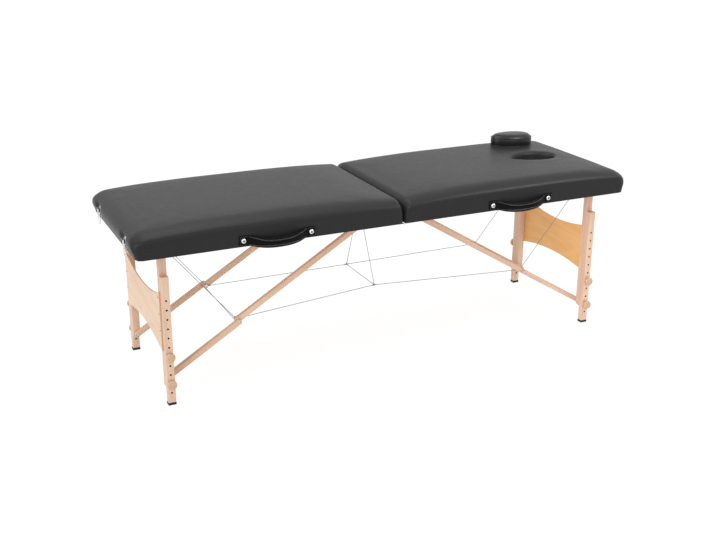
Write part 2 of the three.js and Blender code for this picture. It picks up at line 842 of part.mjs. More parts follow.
// Two long cables from knee to knee, drawn together at the fold by a triangle of cable
// that hangs from the foot half's centre rail.
function cableNet() {
  const y = middleOf(netEyeLane);
  const reach = legPivotRadius + seatGap + eyeWall / 2;
  const middleZ = frameUnderside - netDrop;
  const middleX = -netFromFold;
  const apex = [-netApexFromFold, 0, frameUnderside + netApexRise];
  const parts = [];
  for (const way of [-1, 1]) {
    const middle = [middleX, way * netHalfWidth, middleZ];
    for (const side of [-1, 1]) {
      const knee = [side * kneePoint.x, way * y, kneePoint.z];
      parts.push(eye(legPivotRadius, facing(way, netEyeLane), knee[0], knee[2]));
      parts.push(wire([knee[0] - side * reach, knee[1], knee[2]], middle));
    }
    parts.push(wire(middle, apex));
    parts.push(crimp(middle));
  }
  parts.push(wire([middleX, -netHalfWidth, middleZ], [middleX, netHalfWidth, middleZ]));
  parts.push(crimp(apex));
  parts.push(wire([-(frameStart + railThickness) - seatGap, apex[1], apex[2]], apex));
  return joined(parts);
}

// A sleeve where cables meet.
function crimp([x, y, z]) {
  return rodAlongY(wireRadius * 2, [y - wireRadius * 3, y + wireRadius * 3], x, z, boreSides);
}

// Carrying handles

function handle(side) {
  const halfSpan = handleBoltSpan / 2;
  const middle = side * handleFromFold;
  const face = -halfWidth - seatGap;
  const boltZ = frameUnderside + handleBoltRise;
  const stations = [];
  const tabEnd = halfSpan + handleTabLength / 2;
  const tabStart = halfSpan - handleTabLength / 2;
  stations.push([-tabEnd, 0], [-tabStart, 0]);
  for (let step = 1; step < handleSteps; step += 1) {
    const share = -1 + (2 * step) / handleSteps;
    stations.push([tabStart * share, (1 - share ** 4) ** 2]);
  }
  stations.push([tabStart, 0], [tabEnd, 0]);
  const rings = stations.map(([along, body]) => {
    const sag = handleSag * Math.max(0, 1 - (along / tabStart) ** 2);
    const height = handleTabHeight + (handleGripHeight - handleTabHeight) * body;
    const thickness = handleTabThickness + (handleGripThickness - handleTabThickness) * body;
    const inner = face - handleGripGap * body;
    return handleSection(middle + along, inner, inner - thickness, boltZ - sag, height);
  });
  return loft(rings);
}

// One section of a handle across X, with eased corners.
function handleSection(x, innerY, outerY, z, height) {
  const ease = Math.min(handleEase, Math.abs(outerY - innerY) / 3);
  const half = height / 2;
  const corners = [
    [outerY, z - half + ease], [outerY + ease, z - half], [innerY - ease, z - half], [innerY, z - half + ease],
    [innerY, z + half - ease], [innerY - ease, z + half], [outerY + ease, z + half], [outerY, z + half - ease],
  ];
  return corners.map(([y, height]) => [x, y, height]);
}

// Latches on the foot end, drawn in the distance out from the end face and in height.

const latchFromMiddle = halfWidth - latchFromSide;
const latchFace = -halfLength - seatGap;
const latchPivot = { x: latchFace - latchPivotOut, z: frameUnderside + latchPivotRise };
const bailPivot = { x: latchPivot.x, z: latchPivot.z + bailPivotRise };
const leverHalfSpan = latchEarSpan / 2 - seatGap;

function latchBase(way) {
  const y = way * latchFromMiddle;
  const low = frameUnderside + latchPlateRise;
  const half = latchPlateWidth / 2;
  const plate = acrossX(
    rectangle(y - half, y + half, low, low + latchPlateHeight, latchPlateEase),
    [latchFace - latchPlateThickness, latchFace],
  );
  const parts = [plate];
  for (const hand of [-1, 1]) {
    const inner = y + hand * latchEarSpan / 2;
    const outline = barOutline(
      { x: latchPivot.x, z: latchPivot.z },
      { x: latchFace - latchPlateThickness + latchEarRadius - weld, z: latchPivot.z },
      latchEarRadius,
    );
    const room = block(
      [latchFace - latchPlateThickness + weld, latchFace + latchPlateWidth],
      [inner - overcut * hand, inner + hand * (latchEarThickness + overcut)],
      [latchPivot.z - latchPlateWidth, latchPivot.z + latchPlateWidth],
    );
    parts.push(acrossY(outline, [inner, inner + hand * latchEarThickness]).subtract(room));
  }
  const reach = latchEarSpan / 2 + latchEarThickness + overcut;
  return joined(parts).subtract(
    bore(latchPinRadius + seatGap, [y - reach, y + reach], latchPivot.x, latchPivot.z),
  );
}

// A bent channel that turns on a pin between the ears, with a lip to lift it by.
function latchLever(way) {
  const y = way * latchFromMiddle;
  const back = latchPivot.x + latchPinRadius + latchLeverWall;
  const front = latchPivot.x - latchPinRadius - latchLeverWall;
  const bottom = latchPivot.z - latchLeverNose;
  const top = latchPivot.z + latchLeverLength;
  const channel = block([front, back], [y - leverHalfSpan, y + leverHalfSpan], [bottom, top]);
  const inside = block(
    [front + latchLeverWall, back + overcut],
    [y - leverHalfSpan + latchLeverWall, y + leverHalfSpan - latchLeverWall],
    [bottom - overcut, top + overcut],
  );
  const lip = block(
    [front - latchLipReach, front + latchLeverWall],
    [y - leverHalfSpan, y + leverHalfSpan],
    [top - latchLeverWall, top],
  );
  const pinReach = latchEarSpan / 2 + latchEarThickness;
  const pin = rodAlongY(latchPinRadius, [y - pinReach, y + pinReach], latchPivot.x, latchPivot.z, boreSides);
  const bailBore = bore(
    bailRadius + seatGap,
    [y - leverHalfSpan - overcut, y + leverHalfSpan + overcut],
    bailPivot.x,
    bailPivot.z,
  );
  return joined([channel.subtract(inside), lip]).subtract(bailBore).add(pin);
}

// A wire loop that hangs from the lever and hooks under the keeper.
function latchBail(way) {
  const y = way * latchFromMiddle;
  const half = latchEarSpan / 2 + latchEarThickness + bailSideGap + bailRadius;
  const tip = leverHalfSpan - latchLeverWall - bailRadius;
  const top = bailPivot.z;
  const bottom = top - bailDrop;
  const x = bailPivot.x;
  const corner = bailRadius * 2;
  const path = new THREE.CurvePath();
  const stations = [
    [tip, top], [half - corner, top], [half, top], [half, top - corner], [half, bottom + corner],
    [half, bottom], [half - corner, bottom], [corner - half, bottom], [-half, bottom],
    [-half, bottom + corner], [-half, top - corner], [-half, top], [corner - half, top], [-tip, top],
  ].map(([across, height]) => new THREE.Vector3(x, y + across, height));
  const straights = [[0, 1], [3, 4], [6, 7], [9, 10], [12, 13]];
  straights.forEach(([from, to], index) => {
    path.add(new THREE.LineCurve3(stations[from], stations[to]));
    if (index + 1 < straights.length) {
      path.add(new THREE.QuadraticBezierCurve3(stations[to], stations[to + 1], stations[to + 2]));
    }
  });
  return solidOf(new THREE.ExtrudeGeometry(disc(bailRadius), {
    extrudePath: path,
    steps: bailSteps,
    bevelEnabled: false,
    curveSegments: wireSides / 2,
  }));
}

function disc(radius) {
  const outline = new THREE.Shape();
  outline.absarc(0, 0, radius, 0, Math.PI * 2);
  return outline;
}

function keeper(way) {
  const y = way * latchFromMiddle;
  const face = halfLength + seatGap;
  const low = frameUnderside + keeperRise;
  const half = keeperWidth / 2;
  const hookHalf = keeperHookWidth / 2;
  const plate = acrossX(
    rectangle(y - half, y + half, low, low + keeperHeight, latchPlateEase),
    [face, face + keeperThickness],
  );
  const shelf = block(
    [face + keeperThickness - weld, face + keeperHookReach],
    [y - hookHalf, y + hookHalf],
    [low + keeperThickness, low + 2 * keeperThickness],
  );
  const lip = block(
    [face + keeperHookReach - keeperThickness, face + keeperHookReach],
    [y - hookHalf, y + hookHalf],
    [low + keeperThickness, low + keeperThickness + keeperHookHeight],
  );
  return joined([plate, shelf, lip]);
}

// Assembly

const halves = [{ name: "foot", side: -1 }, { name: "head", side: 1 }];
const flanks = [{ name: "near", way: -1 }, { name: "far", way: 1 }];

for (const { name: half, side } of halves) {
  place(`cushion_${half}`, cushion(side), vinyl);
  place(`deck_${half}`, deck(side), plywood);
  place(`frame_${half}`, frame(side), beech);
  place(`hinge_leaf_${half}`, hingeLeaf(side), steel);
  place(`handle_${half}`, handle(side), vinyl);
  place(`leg_pivot_rod_${half}`, legPivotRod(side), steel);
  place(`brace_pivot_rod_${half}`, bracePivotRod(side), steel);
  place(`end_panel_${half}`, endPanel(side), plywood);
  place(`stay_cable_${half}`, stayCable(side), brightWire);
  for (const { name: flank, way } of flanks) {
    const end = `${half}_${flank}`;
    place(`post_${end}`, post(side, way), beech);
    place(`extension_${end}`, extension(side, way), beech);
    place(`rubber_tip_${end}`, rubberTip(side, way), rubber);
    place(`upper_knob_${end}`, knob(side, way, upperBoltHeight), knobWood);
    place(`lower_knob_${end}`, knob(side, way, lowerBoltHeight), knobWood);
    place(`upper_brace_${end}`, upperBrace(side, way), beech);
    place(`lower_brace_${end}`, lowerBrace(side, way), beech);
    place(`knee_pin_${end}`, kneePin(side, way), steel);
  }
}

for (const { name: flank, way } of flanks) {
  place(`latch_base_${flank}`, latchBase(way), steel);
  place(`latch_lever_${flank}`, latchLever(way), steel);
  place(`latch_bail_${flank}`, latchBail(way), steel);
  place(`keeper_${flank}`, keeper(way), steel);
}

place("face_plug", facePlug(), vinyl);
place("cable_net", cableNet(), brightWire);

// The origin is on the floor, under the middle of the whole.
const bounds = new THREE.Box3().setFromObject(table);
const centre = bounds.getCenter(new THREE.Vector3());
table.position.set(-centre.x, -centre.y, -bounds.min.z);

export default table;
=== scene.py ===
import math

import bmesh
import bpy
import numpy as np
from mathutils import Matrix, Vector

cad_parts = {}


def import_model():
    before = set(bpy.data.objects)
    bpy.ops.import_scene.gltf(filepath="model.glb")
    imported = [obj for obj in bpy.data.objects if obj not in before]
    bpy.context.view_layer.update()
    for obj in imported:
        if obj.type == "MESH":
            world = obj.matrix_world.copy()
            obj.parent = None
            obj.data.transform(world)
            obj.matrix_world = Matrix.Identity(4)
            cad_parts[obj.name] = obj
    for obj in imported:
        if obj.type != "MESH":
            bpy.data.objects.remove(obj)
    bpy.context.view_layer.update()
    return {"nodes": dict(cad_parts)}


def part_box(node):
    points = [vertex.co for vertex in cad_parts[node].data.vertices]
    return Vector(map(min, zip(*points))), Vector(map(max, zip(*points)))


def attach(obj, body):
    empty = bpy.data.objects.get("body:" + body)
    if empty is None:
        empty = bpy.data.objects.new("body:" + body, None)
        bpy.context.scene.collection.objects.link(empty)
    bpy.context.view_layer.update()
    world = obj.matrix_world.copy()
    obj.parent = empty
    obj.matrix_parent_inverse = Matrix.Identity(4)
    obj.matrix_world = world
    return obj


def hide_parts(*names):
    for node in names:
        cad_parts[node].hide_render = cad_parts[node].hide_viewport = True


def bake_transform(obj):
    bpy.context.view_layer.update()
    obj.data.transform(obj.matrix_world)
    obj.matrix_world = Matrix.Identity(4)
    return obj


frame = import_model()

# Folding massage table: black vinyl pads, pale wooden legs and frame, bright steel fittings.
# Metres, in the frame's own axes: +X towards the head end, -Y towards the handles.

MM = 0.001
HALVES = {"foot": -1, "head": 1}
FLANKS = {"near": -1, "far": 1}
NODES = frame["nodes"]


def middle(node):
    low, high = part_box(node)
    return (low + high) / 2


def flank_faces(node, flank):
    """A node's Y on its inner side and on its outer one."""
    low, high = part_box(node)
    return (low.y, high.y) if FLANKS[flank] > 0 else (high.y, low.y)


def around(count):
    """Even steps of angle round a full turn."""
    return [2 * math.pi * i / count for i in range(count)]


def quarter(steps):
    """Even steps of angle through a quarter turn, both ends included."""
    return [math.pi / 2 * step / steps for step in range(steps + 1)]


def profile_of(pairs, radius=MM, begin=0.0):
    """Pairs of radius and distance, in millimetres or with the radius in shares of a given one."""
    return [(share * radius, begin + along * MM) for share, along in pairs]


# Places read from the frame
fold_x = (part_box("cushion_foot")[1].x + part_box("cushion_head")[0].x) / 2
mid_y = middle("cushion_foot").y
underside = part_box("frame_foot")[0].z
frame_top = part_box("frame_foot")[1].z
deck_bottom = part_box("deck_foot")[0].z

# Camera, from the photograph's straight edges
CAMERA_AT = (-1.5902, -3.26635, 1.6155)
CAMERA_YAW = 0.437
CAMERA_PITCH = 0.353
CAMERA_ROLL = 0.002
CAMERA_LENS = 52.41
CAMERA_SHIFT = (0.0091, -0.0035)
SENSOR_WIDTH = 36  # millimetres, like the lens

# Floor and sky
FLOOR_GLOW = 0.88
FLOOR_WHITE = 1.06
FLOOR_GRAY = (0.86, 0.86, 0.86, 1)
FLOOR_REACH = 30.0
SKY_LIGHT = 0.58
WHITE = (1, 1, 1, 1)

# Lights: a sun's way, width and power, and each lamp's place, aim, size and power
SUN_WAY = (-0.85, -0.42, 0.34)
SUN_WIDTH = 0.7
SUN_POWER = 1.4
LAMPS = {
    "overhead": ((-0.6, 0.3, 3.4), (0, 0, 0.6), 2.8, 52),
    "front": ((0.8, -4.2, 1.4), (0.3, 0, 0.3), 2.6, 18),
    "edge": ((1.7, -0.9, 2.3), (0.5, -0.3, 0.6), 0.8, 20),
}

# Pads
PAD_ROUND_OUT = 46 * MM
PAD_SIDE_ROUND = 60 * MM
PAD_ROUND_UP = 32 * MM
PAD_MIDDLE_RISE = 11 * MM
PAD_CROWN = 4 * MM
PAD_FOLD_ROUND = 26 * MM
PAD_CORNER = 24 * MM
PAD_GRID = 11 * MM
ROUND_REACH = 1.3  # of a rounded edge's width has the finer grid
ROUND_CELLS = 7  # to a rounded edge's width
PAD_SKIN = 3 * MM
PAD_SWELL = 1.6 * MM
PAD_FREE_ABOVE = 22 * MM  # the frame's top, and below that the hold grows over the fade
PAD_HELD_FADE = 20 * MM
LOOSE_BELOW_FRAME = 10 * MM  # from here upwards the corners ease out to their full rounding
END_BULGE = 11 * MM
END_BULGE_TO = 6 * MM  # above the frame's top
SIDE_BULGE = 4.5 * MM
SIDE_BULGE_TO = 26 * MM
DIMPLE_WIDE = 26 * MM
DIMPLE_HIGH = 20 * MM
DIMPLE_WIDE_SHARES = (0.5, 1.6)  # pressed flat up to the first, and free past the second
DIMPLE_HIGH_SHARES = (1, 1.9)
TUCK_DEPTH = 0.9 * MM
TUCK_WIDTH = 4 * MM
TUCK_TURN = 30  # degrees round the corner, as for the lap beside it
TUCK_SHARPNESS = 2.2
LAP_TURN = 46
LAP_SHARE = 0.35
LAP_WIDTH_SHARE = 1.6
LAP_SHARPNESS = 2
CORNER_LEAN = 0.02  # a corner faces outwards by more than this in both X and Y
WALL_LEAN = 0.6  # the tucks have faded out where the pad faces upwards by this
TOP_LEAN = 0.9  # the top faces upwards by more than this
HOLE_LIP = 14 * MM
HOLE_WALL_STEP = 8 * MM
HOLE_WALL_SHORT = 1 * MM  # ends this far above the deck's underside
HOLE_EGG_SHARE = 0.12
HOLE_PUFF = 2 * MM
HOLE_PUFF_AT = 1.15  # of the lip's radius
HOLE_PUFF_WIDTH = 0.3
HOLE_GRID_SHARE = 0.95  # of the lip's radius is taken out of the grid
HOLE_EASE_TO = 2.1  # of that square's half size is drawn towards the oval
SWELL_STEPS = 20

# Plug of the face hole
PLUG_CROWN = 9 * MM
PLUG_DOME = 14 * MM
PLUG_SEAM_DROP = 2.5 * MM
PLUG_EDGE = 2 * MM
PLUG_BULGE = 1.4 * MM
PLUG_SWELL = 1.2 * MM
PLUG_SIDES = 80
PLUG_WALL_STEPS = 8
PLUG_FOOT_SHARES = (0.8, 0.55, 0.3, 0.1)
PLUG_DOME_SHARES = (0.03, 0.07, 0.13, 0.2, 0.29, 0.4, 0.55, 0.7, 0.85)
PLUG_END_NEAR = 0.1 * MM  # this near, a point counts as at the plug's end
PLUG_SEAM_HOLD = 1.5 * MM
PLUG_FOOT_HOLD = 4 * MM
PLUG_STITCH_DROP = 5 * MM  # below the upper seam
PLUG_STITCH_SUNK = 0.1 * MM
PIPING_RADIUS = 1.6 * MM
PIPING_BELOW_SEAM = 0.6 * MM
PIPING_ABOVE_BASE = 0.2 * MM
PIPING_SUNK = 0.2 * MM

# Cables
CABLE_RADIUS = 1.15 * MM
CABLE_STRANDS = 6
CABLE_SIDES = 18
STRAND_DEPTH = 0.14  # of the cable's radius, the groove between two strands
CABLE_LAY = 14 * MM
CABLE_STEP = 2.4 * MM
EYE_WIRE = 1.05 * MM
SLEEVE_LENGTH = 9 * MM
KNEE_SLEEVE_LENGTH = 4.6 * MM  # short, so that it clears the deck when the leg is in
EYE_RADIUS = 5.4 * MM
SLEEVE_RIM = ((0.8, 0), (1.75, 0.2), (1.95, 0.9))  # radius and distance, in millimetres
HUB_SLEEVE_START = 1.2 * MM
HUB_SLEEVE_LENGTH = 8 * MM
HUB_EYE_RADIUS = 2.2 * MM
HANGER_EYE_RADIUS = 4 * MM
NET_MIDDLE_X = -27 * MM
NET_MIDDLE_Y = 120 * MM
NET_MIDDLE_Z = 250 * MM
HANGER_X = -33 * MM
HANGER_BELOW_FRAME = 2 * MM
# Radius and distance, in millimetres
HANGER_SCREW = ((0.05, -1.2), (1.4, -1.2), (3.4, -1.2), (3.4, 0), (1.4, 0), (1.4, 12), (0.05, 12))
NET_LANE = 167.65 * MM
STAY_LANE = 165.25 * MM
EYE_BELOW_KNEE = 9.25 * MM
NET_SPLIT_SHARE = 0.4

# Holes of the leg extensions, counted in pitches from the lower bolt, with sleeves of painted shade inside
# them
HOLE_PITCH = 32.5 * MM
HOLE_STEPS = (-1, 1, 2, 4, 5, 6, 7, 8, 9)
BORE_RADIUS = 3.29 * MM
BORE_CLEAR_RADIUS = 3.13 * MM
BORE_DEPTH = 21.6 * MM
BORE_SUNK = 0.3 * MM
BORE_SIDES = 24

# Knobs and their bolts. Outlines are pairs of radius and distance, in millimetres
KNOB_LENGTH = 17 * MM
BOLT_RADIUS = 3 * MM
BOLT_IN_KNOB = 2 * MM
BOLT_HEAD = ((2.2, 0), (2.6, 0.2), (2.8, 1.1), (3.4, 1.1), (5.6, 0.6), (6.3, 1.2), (6.5, 2.6), (3, 2.6))
KNOB_OUTLINE = (
    (3.2, 0), (8.6, 0), (9, 0.5), (8.7, 2.4), (9.6, 4), (12.6, 4.3), (15, 5.6), (16, 8), (16, 12.2),
    (15.2, 14.6), (13.2, 16.2), (10.4, 16.7), (9.6, 16.3), (8.8, 16.6), (4, 17), (0.05, 17),
)

# Knee pins
PIN_RADIUS = 4 * MM
PIN_HEAD = 3 * MM
PIN_EASE = 0.5 * MM
# Radius in shares of the head's, and distance in millimetres
PIN_DOME = ((0.55, 0), (0.9, 0.5), (1, 1.3), (1, 2.6), (0.96, 3))
BUSH_RADIUS = 3.9 * MM
BUSH_SUNK_INSIDE = 0.3 * MM
BUSH_SUNK_OUTSIDE = 0.1 * MM
POINT = 0.05 * MM  # radius that stands for a closed tip

# Handles
HANDLE_TAB = 30 * MM
HANDLE_TAB_HEIGHT = 34 * MM
HANDLE_TAB_THICK = 4 * MM
HANDLE_GRIP_THICK = 13 * MM
HANDLE_STAND = 13 * MM
HANDLE_SAG = 13 * MM
SLEEVE_SHARE = 0.83
SLEEVE_STEP = 1.6 * MM
SLEEVE_RAMP = 0.012  # of the grip's half length
SLEEVE_UP_SHARE = 0.4  # of the sleeve's step is added to half the height
SLEEVE_OUT_SHARE = 0.5  # of it is added to the front
HANDLE_SIDES = 36
HANDLE_CLEAR = 0.1 * MM  # inside the front of the handle's box
GRIP_LOWER = 1 * MM  # than the tabs
TAB_EASE = 2.2 * MM
TAB_THIN_SHARE = 0.45  # of that ease comes off half the thickness
TAB_SQUARENESS = 7.0  # 2 is an ellipse
GRIP_LESS_SQUARE = 4.2
TAB_STEP = 5 * MM
TAB_END_STATIONS = (TAB_EASE, 0.8 * MM, 0.2 * MM)  # back from the tab's end
WELT_SHARE = 0.24
WELT_RADIUS = 1.6 * MM
WELT_SUNK = 0.1 * MM
WELT_LEAN_SHARE = 0.82
SEAM_LEAN_SHARE = 0.72  # of the welt's turn round the grip
WELT_REACH = 0.985  # of the grip's half length
TAB_STITCH_INSET = 3.2 * MM
TAB_STITCH_FROM_GRIP = 4 * MM
TAB_STITCH_FROM_END = 3 * MM
STITCH_LIFT = 0.05 * MM
STITCH_PITCH = 4 * MM
WASHER_RADIUS = 8.2 * MM
WASHER_SEAT = 0.9 * MM
# Radius in shares of the washer's, and distance in millimetres
WASHER_CUP = ((0.01, 0.9), (0.5, 0.9), (0.55, 1.9), (0.64, 2.3), (0.8, 1.9), (0.95, 0.8), (1, 0), (0.01, 0))

# Fittings
BAIL_RADIUS = 1.3 * MM
BAIL_TIP = 6.2 * MM
BAIL_BEND = 2.6 * MM
PANEL_SCREW_DROPS = (23 * MM, 81 * MM, 139 * MM)
PLATE_SCREW_INSETS = (4 * MM, 3.7 * MM)  # from the latch plate's top and bottom
KEEPER_SCREW_ASIDE = 6 * MM
KEEPER_SCREW_DROP = 5 * MM
HINGE_SCREW_MARGIN = 20 * MM
HINGE_SCREW_PITCH = 60 * MM
HINGE_SCREW_ASIDE = 3 * MM
LEAF_EDGE_NEAR = 1 * MM  # this near, a point counts as on the edge
FITTING_TOP_NEAR = 0.5 * MM

# Cloth hem under the rails
HEM_GAP = 0.1 * MM
HEM_THICK = 0.8 * MM
HEM_WIDTH = 20 * MM
HEM_INSET = 4 * MM
HEM_EASE = 0.25 * MM
STAPLE_PITCH = 36 * MM
STAPLE_MARGIN = 14 * MM
STAPLE_END_MARGIN = 40 * MM


class Socket:
    """A shader socket that can stand in a sum."""

    def __init__(self, tree, link):
        self.tree = tree
        self.link = link

    def math(self, operation, *others):
        feeds = dict(enumerate((self, *others)))
        return self.tree.node("ShaderNodeMath", {"operation": operation}, feeds)

    def __add__(self, other):
        return self.math("ADD", other)

    __radd__ = __add__

    def __mul__(self, other):
        return self.math("MULTIPLY", other)

    __rmul__ = __mul__

    def __sub__(self, other):
        return self.math("SUBTRACT", other)

    def __rsub__(self, other):
        return self.math("MULTIPLY_ADD", -1.0, other)

    def __gt__(self, other):
        return self.math("GREATER_THAN", other)

    def __lt__(self, other):
        return self.math("LESS_THAN", other)

    def sine(self):
        return self.math("SINE")

    def ramp(self, low, high):
        """0 below low, 1 above high, and smooth in between."""
        feeds = {"Value": self, "From Min": low, "From Max": high}
        settings = {"interpolation_type": "SMOOTHSTEP"}
        return self.tree.node("ShaderNodeMapRange", settings, feeds, "Result")


class Tree:
    """A node tree that is written node by node."""

    def __init__(self, tree):
        self.tree = tree

    def node(self, kind, settings=None, feeds=None, give=0):
        """A new node with its settings and what its sockets get. Gives the output that is named."""
        made = self.tree.nodes.new(kind)
        for key, value in (settings or {}).items():
            setattr(made, key, value)
        for key, value in (feeds or {}).items():
            self.feed(made.inputs[key], value)
        return Socket(self, made.outputs[give]) if made.outputs else None

    def feed(self, socket, value):
        if isinstance(value, Socket):
            self.tree.links.new(value.link, socket)
        else:
            socket.default_value = value


class Finish(Tree):
    """One material and its node tree."""

    def __init__(self, name):
        self.material = bpy.data.materials.new(name)
        self.material.use_nodes = True
        super().__init__(self.material.node_tree)
        self.tree.nodes.clear()

    def place(self, turn=(0, 0, 0), stretch=(1, 1, 1), shift=(0, 0, 0)):
        where = self.node("ShaderNodeTexCoord", give="Object")
        turned = self.node("ShaderNodeMapping", {}, {"Vector": where, "Location": shift, "Rotation": turn})
        return self.node("ShaderNodeVectorMath", {"operation": "MULTIPLY"}, {0: turned, 1: stretch})

    def noise(self, where, scale, detail=3.0, roughness=0.55, distortion=0.0):
        feeds = {"Vector": where, "Scale": scale, "Detail": detail}
        feeds.update({"Roughness": roughness, "Distortion": distortion})
        return self.node("ShaderNodeTexNoise", {}, feeds, "Fac")

    def cells(self, where, scale):
        feeds = {"Vector": where, "Scale": scale}
        return self.node("ShaderNodeTexVoronoi", {"feature": "F1"}, feeds, "Distance")

    def axis(self, where, name):
        return self.node("ShaderNodeSeparateXYZ", {}, {0: where}, name)

    def mix(self, share, first, second):
        feeds = {0: share, 6: (*first, 1) if isinstance(first, tuple) else first}
        feeds[7] = (*second, 1) if isinstance(second, tuple) else second
        return self.node("ShaderNodeMix", {"data_type": "RGBA"}, feeds, 2)

    def bump(self, height, distance, strength=1.0, under=None):
        feeds = {"Strength": strength, "Distance": distance, "Height": height}
        if under is not None:
            feeds["Normal"] = under
        return self.node("ShaderNodeBump", {}, feeds)

    def surface(self, **feeds):
        named = {key.replace("_", " "): value for key, value in feeds.items()}
        shader = self.node("ShaderNodeBsdfPrincipled", {}, named)
        self.node_out(shader)
        return self.material

    def node_out(self, shader):
        self.node("ShaderNodeOutputMaterial", {}, {"Surface": shader})


# Materials


def tinted(colour, shares):
    return tuple(channel * share for channel, share in zip(colour, shares))


def vinyl(name, tone=0.0165, gloss=0.32, shine=0.165):
    """Black coated cloth: a fine pebble grain, faint waves and a satin sheen that scuffs lighter."""
    f = Finish(name)
    where = f.place()
    pebble = f.cells(where, 780) * 0.7 + f.noise(where, 1500, 2) * 0.5
    waves = f.noise(where, 7, 2)
    scuff = f.noise(where, 38, 5, 0.7).ramp(0.52, 0.78)
    dark = tuple(tone * share for share in (1.0, 1.0, 1.06))
    pale = tuple(tone * share for share in (1.9, 1.9, 1.95))
    colour = f.mix(scuff * 0.3 + pebble * 0.2, dark, pale)
    rough = gloss + f.noise(where, 55, 4) * 0.1 + pebble * 0.05 - scuff * 0.03
    normal = f.bump(pebble, 0.16 * MM, 0.5, f.bump(waves, 2.4 * MM, 0.22))
    return f.surface(Base_Color=colour, Roughness=rough, Normal=normal, Specular_IOR_Level=shine)


def wood(name, pale, deep, turn=(0, 0, 0), shift=(0, 0, 0), figure=1.0):
    """Beech, with its grain along the mapped X: long soft bands, fine streaks and short dark flecks."""
    f = Finish(name)
    bands = f.noise(f.place(turn, (3, 42, 42), shift), 1.0, 3, 0.5, 0.6)
    streaks = f.noise(f.place(turn, (9, 420, 420), shift), 1.0, 4, 0.6)
    flecks = f.noise(f.place(turn, (130, 1500, 1500), shift), 1.0, 1, 0.4).ramp(0.62, 0.76)
    tone = (bands * 0.66 + streaks * 0.4 - 0.03).ramp(0.25, 0.8)
    colour = f.mix(tone * figure, pale, deep)
    colour = f.mix(flecks * 0.18, colour, tinted(deep, (0.62, 0.5, 0.42)))
    rough = 0.46 + streaks * 0.16 + flecks * 0.1
    normal = f.bump(streaks * 0.6 - flecks, 0.12 * MM, 0.5)
    return f.surface(Base_Color=colour, Roughness=rough, Normal=normal, Specular_IOR_Level=0.4)


def panel_wood(name, outward, veneer, back):
    """Bent plywood: a pale outer veneer, a warmer colour on the inward face and the layers' edges between
    them.
    """
    f = Finish(name)
    facing = f.axis(f.node("ShaderNodeTexCoord", give="Normal"), 0) * outward
    broad = f.noise(f.place(stretch=(1, 5, 34)), 1.0, 3, 0.5, 0.9)
    fine = f.noise(f.place(stretch=(1, 16, 520)), 1.0, 4, 0.6)
    dashes = f.noise(f.place(stretch=(1, 130, 1600)), 1.0, 1).ramp(0.62, 0.75)
    tone = (broad * 0.7 + fine * 0.42 - 0.08).ramp(0.25, 0.8)
    outer = f.mix(tone, veneer, tinted(veneer, (0.86, 0.78, 0.66)))
    inner = f.mix(tone, back, tinted(back, (0.86, 0.76, 0.62)))
    layers = (f.axis(f.place(), 0) * (2 * math.pi / (1.35 * MM))).sine().ramp(-0.3, 0.3)
    edge = f.mix(layers, (0.52, 0.31, 0.16), (0.8, 0.6, 0.4))
    colour = f.mix(facing > 0.5, f.mix(facing < -0.5, edge, inner), outer)
    colour = f.mix(dashes * 0.28, colour, tinted(back, (0.5, 0.5, 0.5)))
    normal = f.bump(fine - dashes * 0.6, 0.1 * MM, 0.45)
    return f.surface(Base_Color=colour, Roughness=0.42 + fine * 0.15, Normal=normal, Specular_IOR_Level=0.4)


def knob_wood():
    """Turned wood: growth rings round the knob's own axis seen on end, with tool lines."""
    f = Finish("turned_wood")
    where = f.place(stretch=(190, 60, 190))
    rings = (f.noise(where, 1.0, 3, 0.5, 1.2) * 26).sine().ramp(-0.6, 0.9)
    pores = f.noise(f.place(stretch=(1700, 300, 1700)), 1.0, 1).ramp(0.6, 0.75)
    colour = f.mix(rings * 0.6, (0.66, 0.45, 0.3), (0.48, 0.28, 0.155))
    colour = f.mix(pores * 0.5, colour, (0.3, 0.14, 0.05))
    normal = f.bump(rings - pores * 0.5, 0.1 * MM, 0.4)
    return f.surface(Base_Color=colour, Roughness=0.36 + pores * 0.2, Normal=normal)


def rubber():
    """Matt black rubber with a little floor dust."""
    f = Finish("black_rubber")
    where = f.place()
    dust = f.noise(where, 60, 4, 0.7).ramp(0.5, 0.8)
    grain = f.noise(where, 1400, 2)
    colour = f.mix(dust * 0.5, (0.008, 0.007, 0.006), (0.03, 0.027, 0.024))
    return f.surface(Base_Color=colour, Roughness=0.72 + dust * 0.15, Normal=f.bump(grain, 0.1 * MM, 0.5))


def metal(name, tone, rough, scratch=1.0):
    """Plated steel: faint clouding, hairlines and duller worn spots."""
    f = Finish(name)
    where = f.place()
    cloud = f.noise(where, 90, 4, 0.6)
    hair = f.noise(f.place((0.3, 0.2, 0.5), (900, 900, 900)), 1.0, 2)
    worn = f.noise(where, 260, 3, 0.7).ramp(0.6, 0.8)
    colour = f.mix(worn * 0.4 + cloud * 0.2, tone, tinted(tone, (0.7, 0.7, 0.7)))
    dull = rough + cloud * 0.08 + worn * 0.18
    normal = f.bump(hair * 0.4 + cloud * 0.2, 0.03 * MM * scratch, 0.35)
    return f.surface(Base_Color=colour, Metallic=1.0, Roughness=dull, Normal=normal)


def thread():
    f = Finish("sewing_thread")
    twist = f.noise(f.place(), 2600, 2)
    colour = f.mix(twist, (0.10, 0.10, 0.104), (0.2, 0.2, 0.205))
    return f.surface(Base_Color=colour, Roughness=0.62 + twist * 0.1, Normal=f.bump(twist, 0.1 * MM, 0.6))


BEECH_PALE = (0.79, 0.565, 0.425)
BEECH_DEEP = (0.62, 0.395, 0.27)
VENEER = (0.80, 0.60, 0.465)
INWARD_FACE_COLOUR = (0.92, 0.545, 0.225)

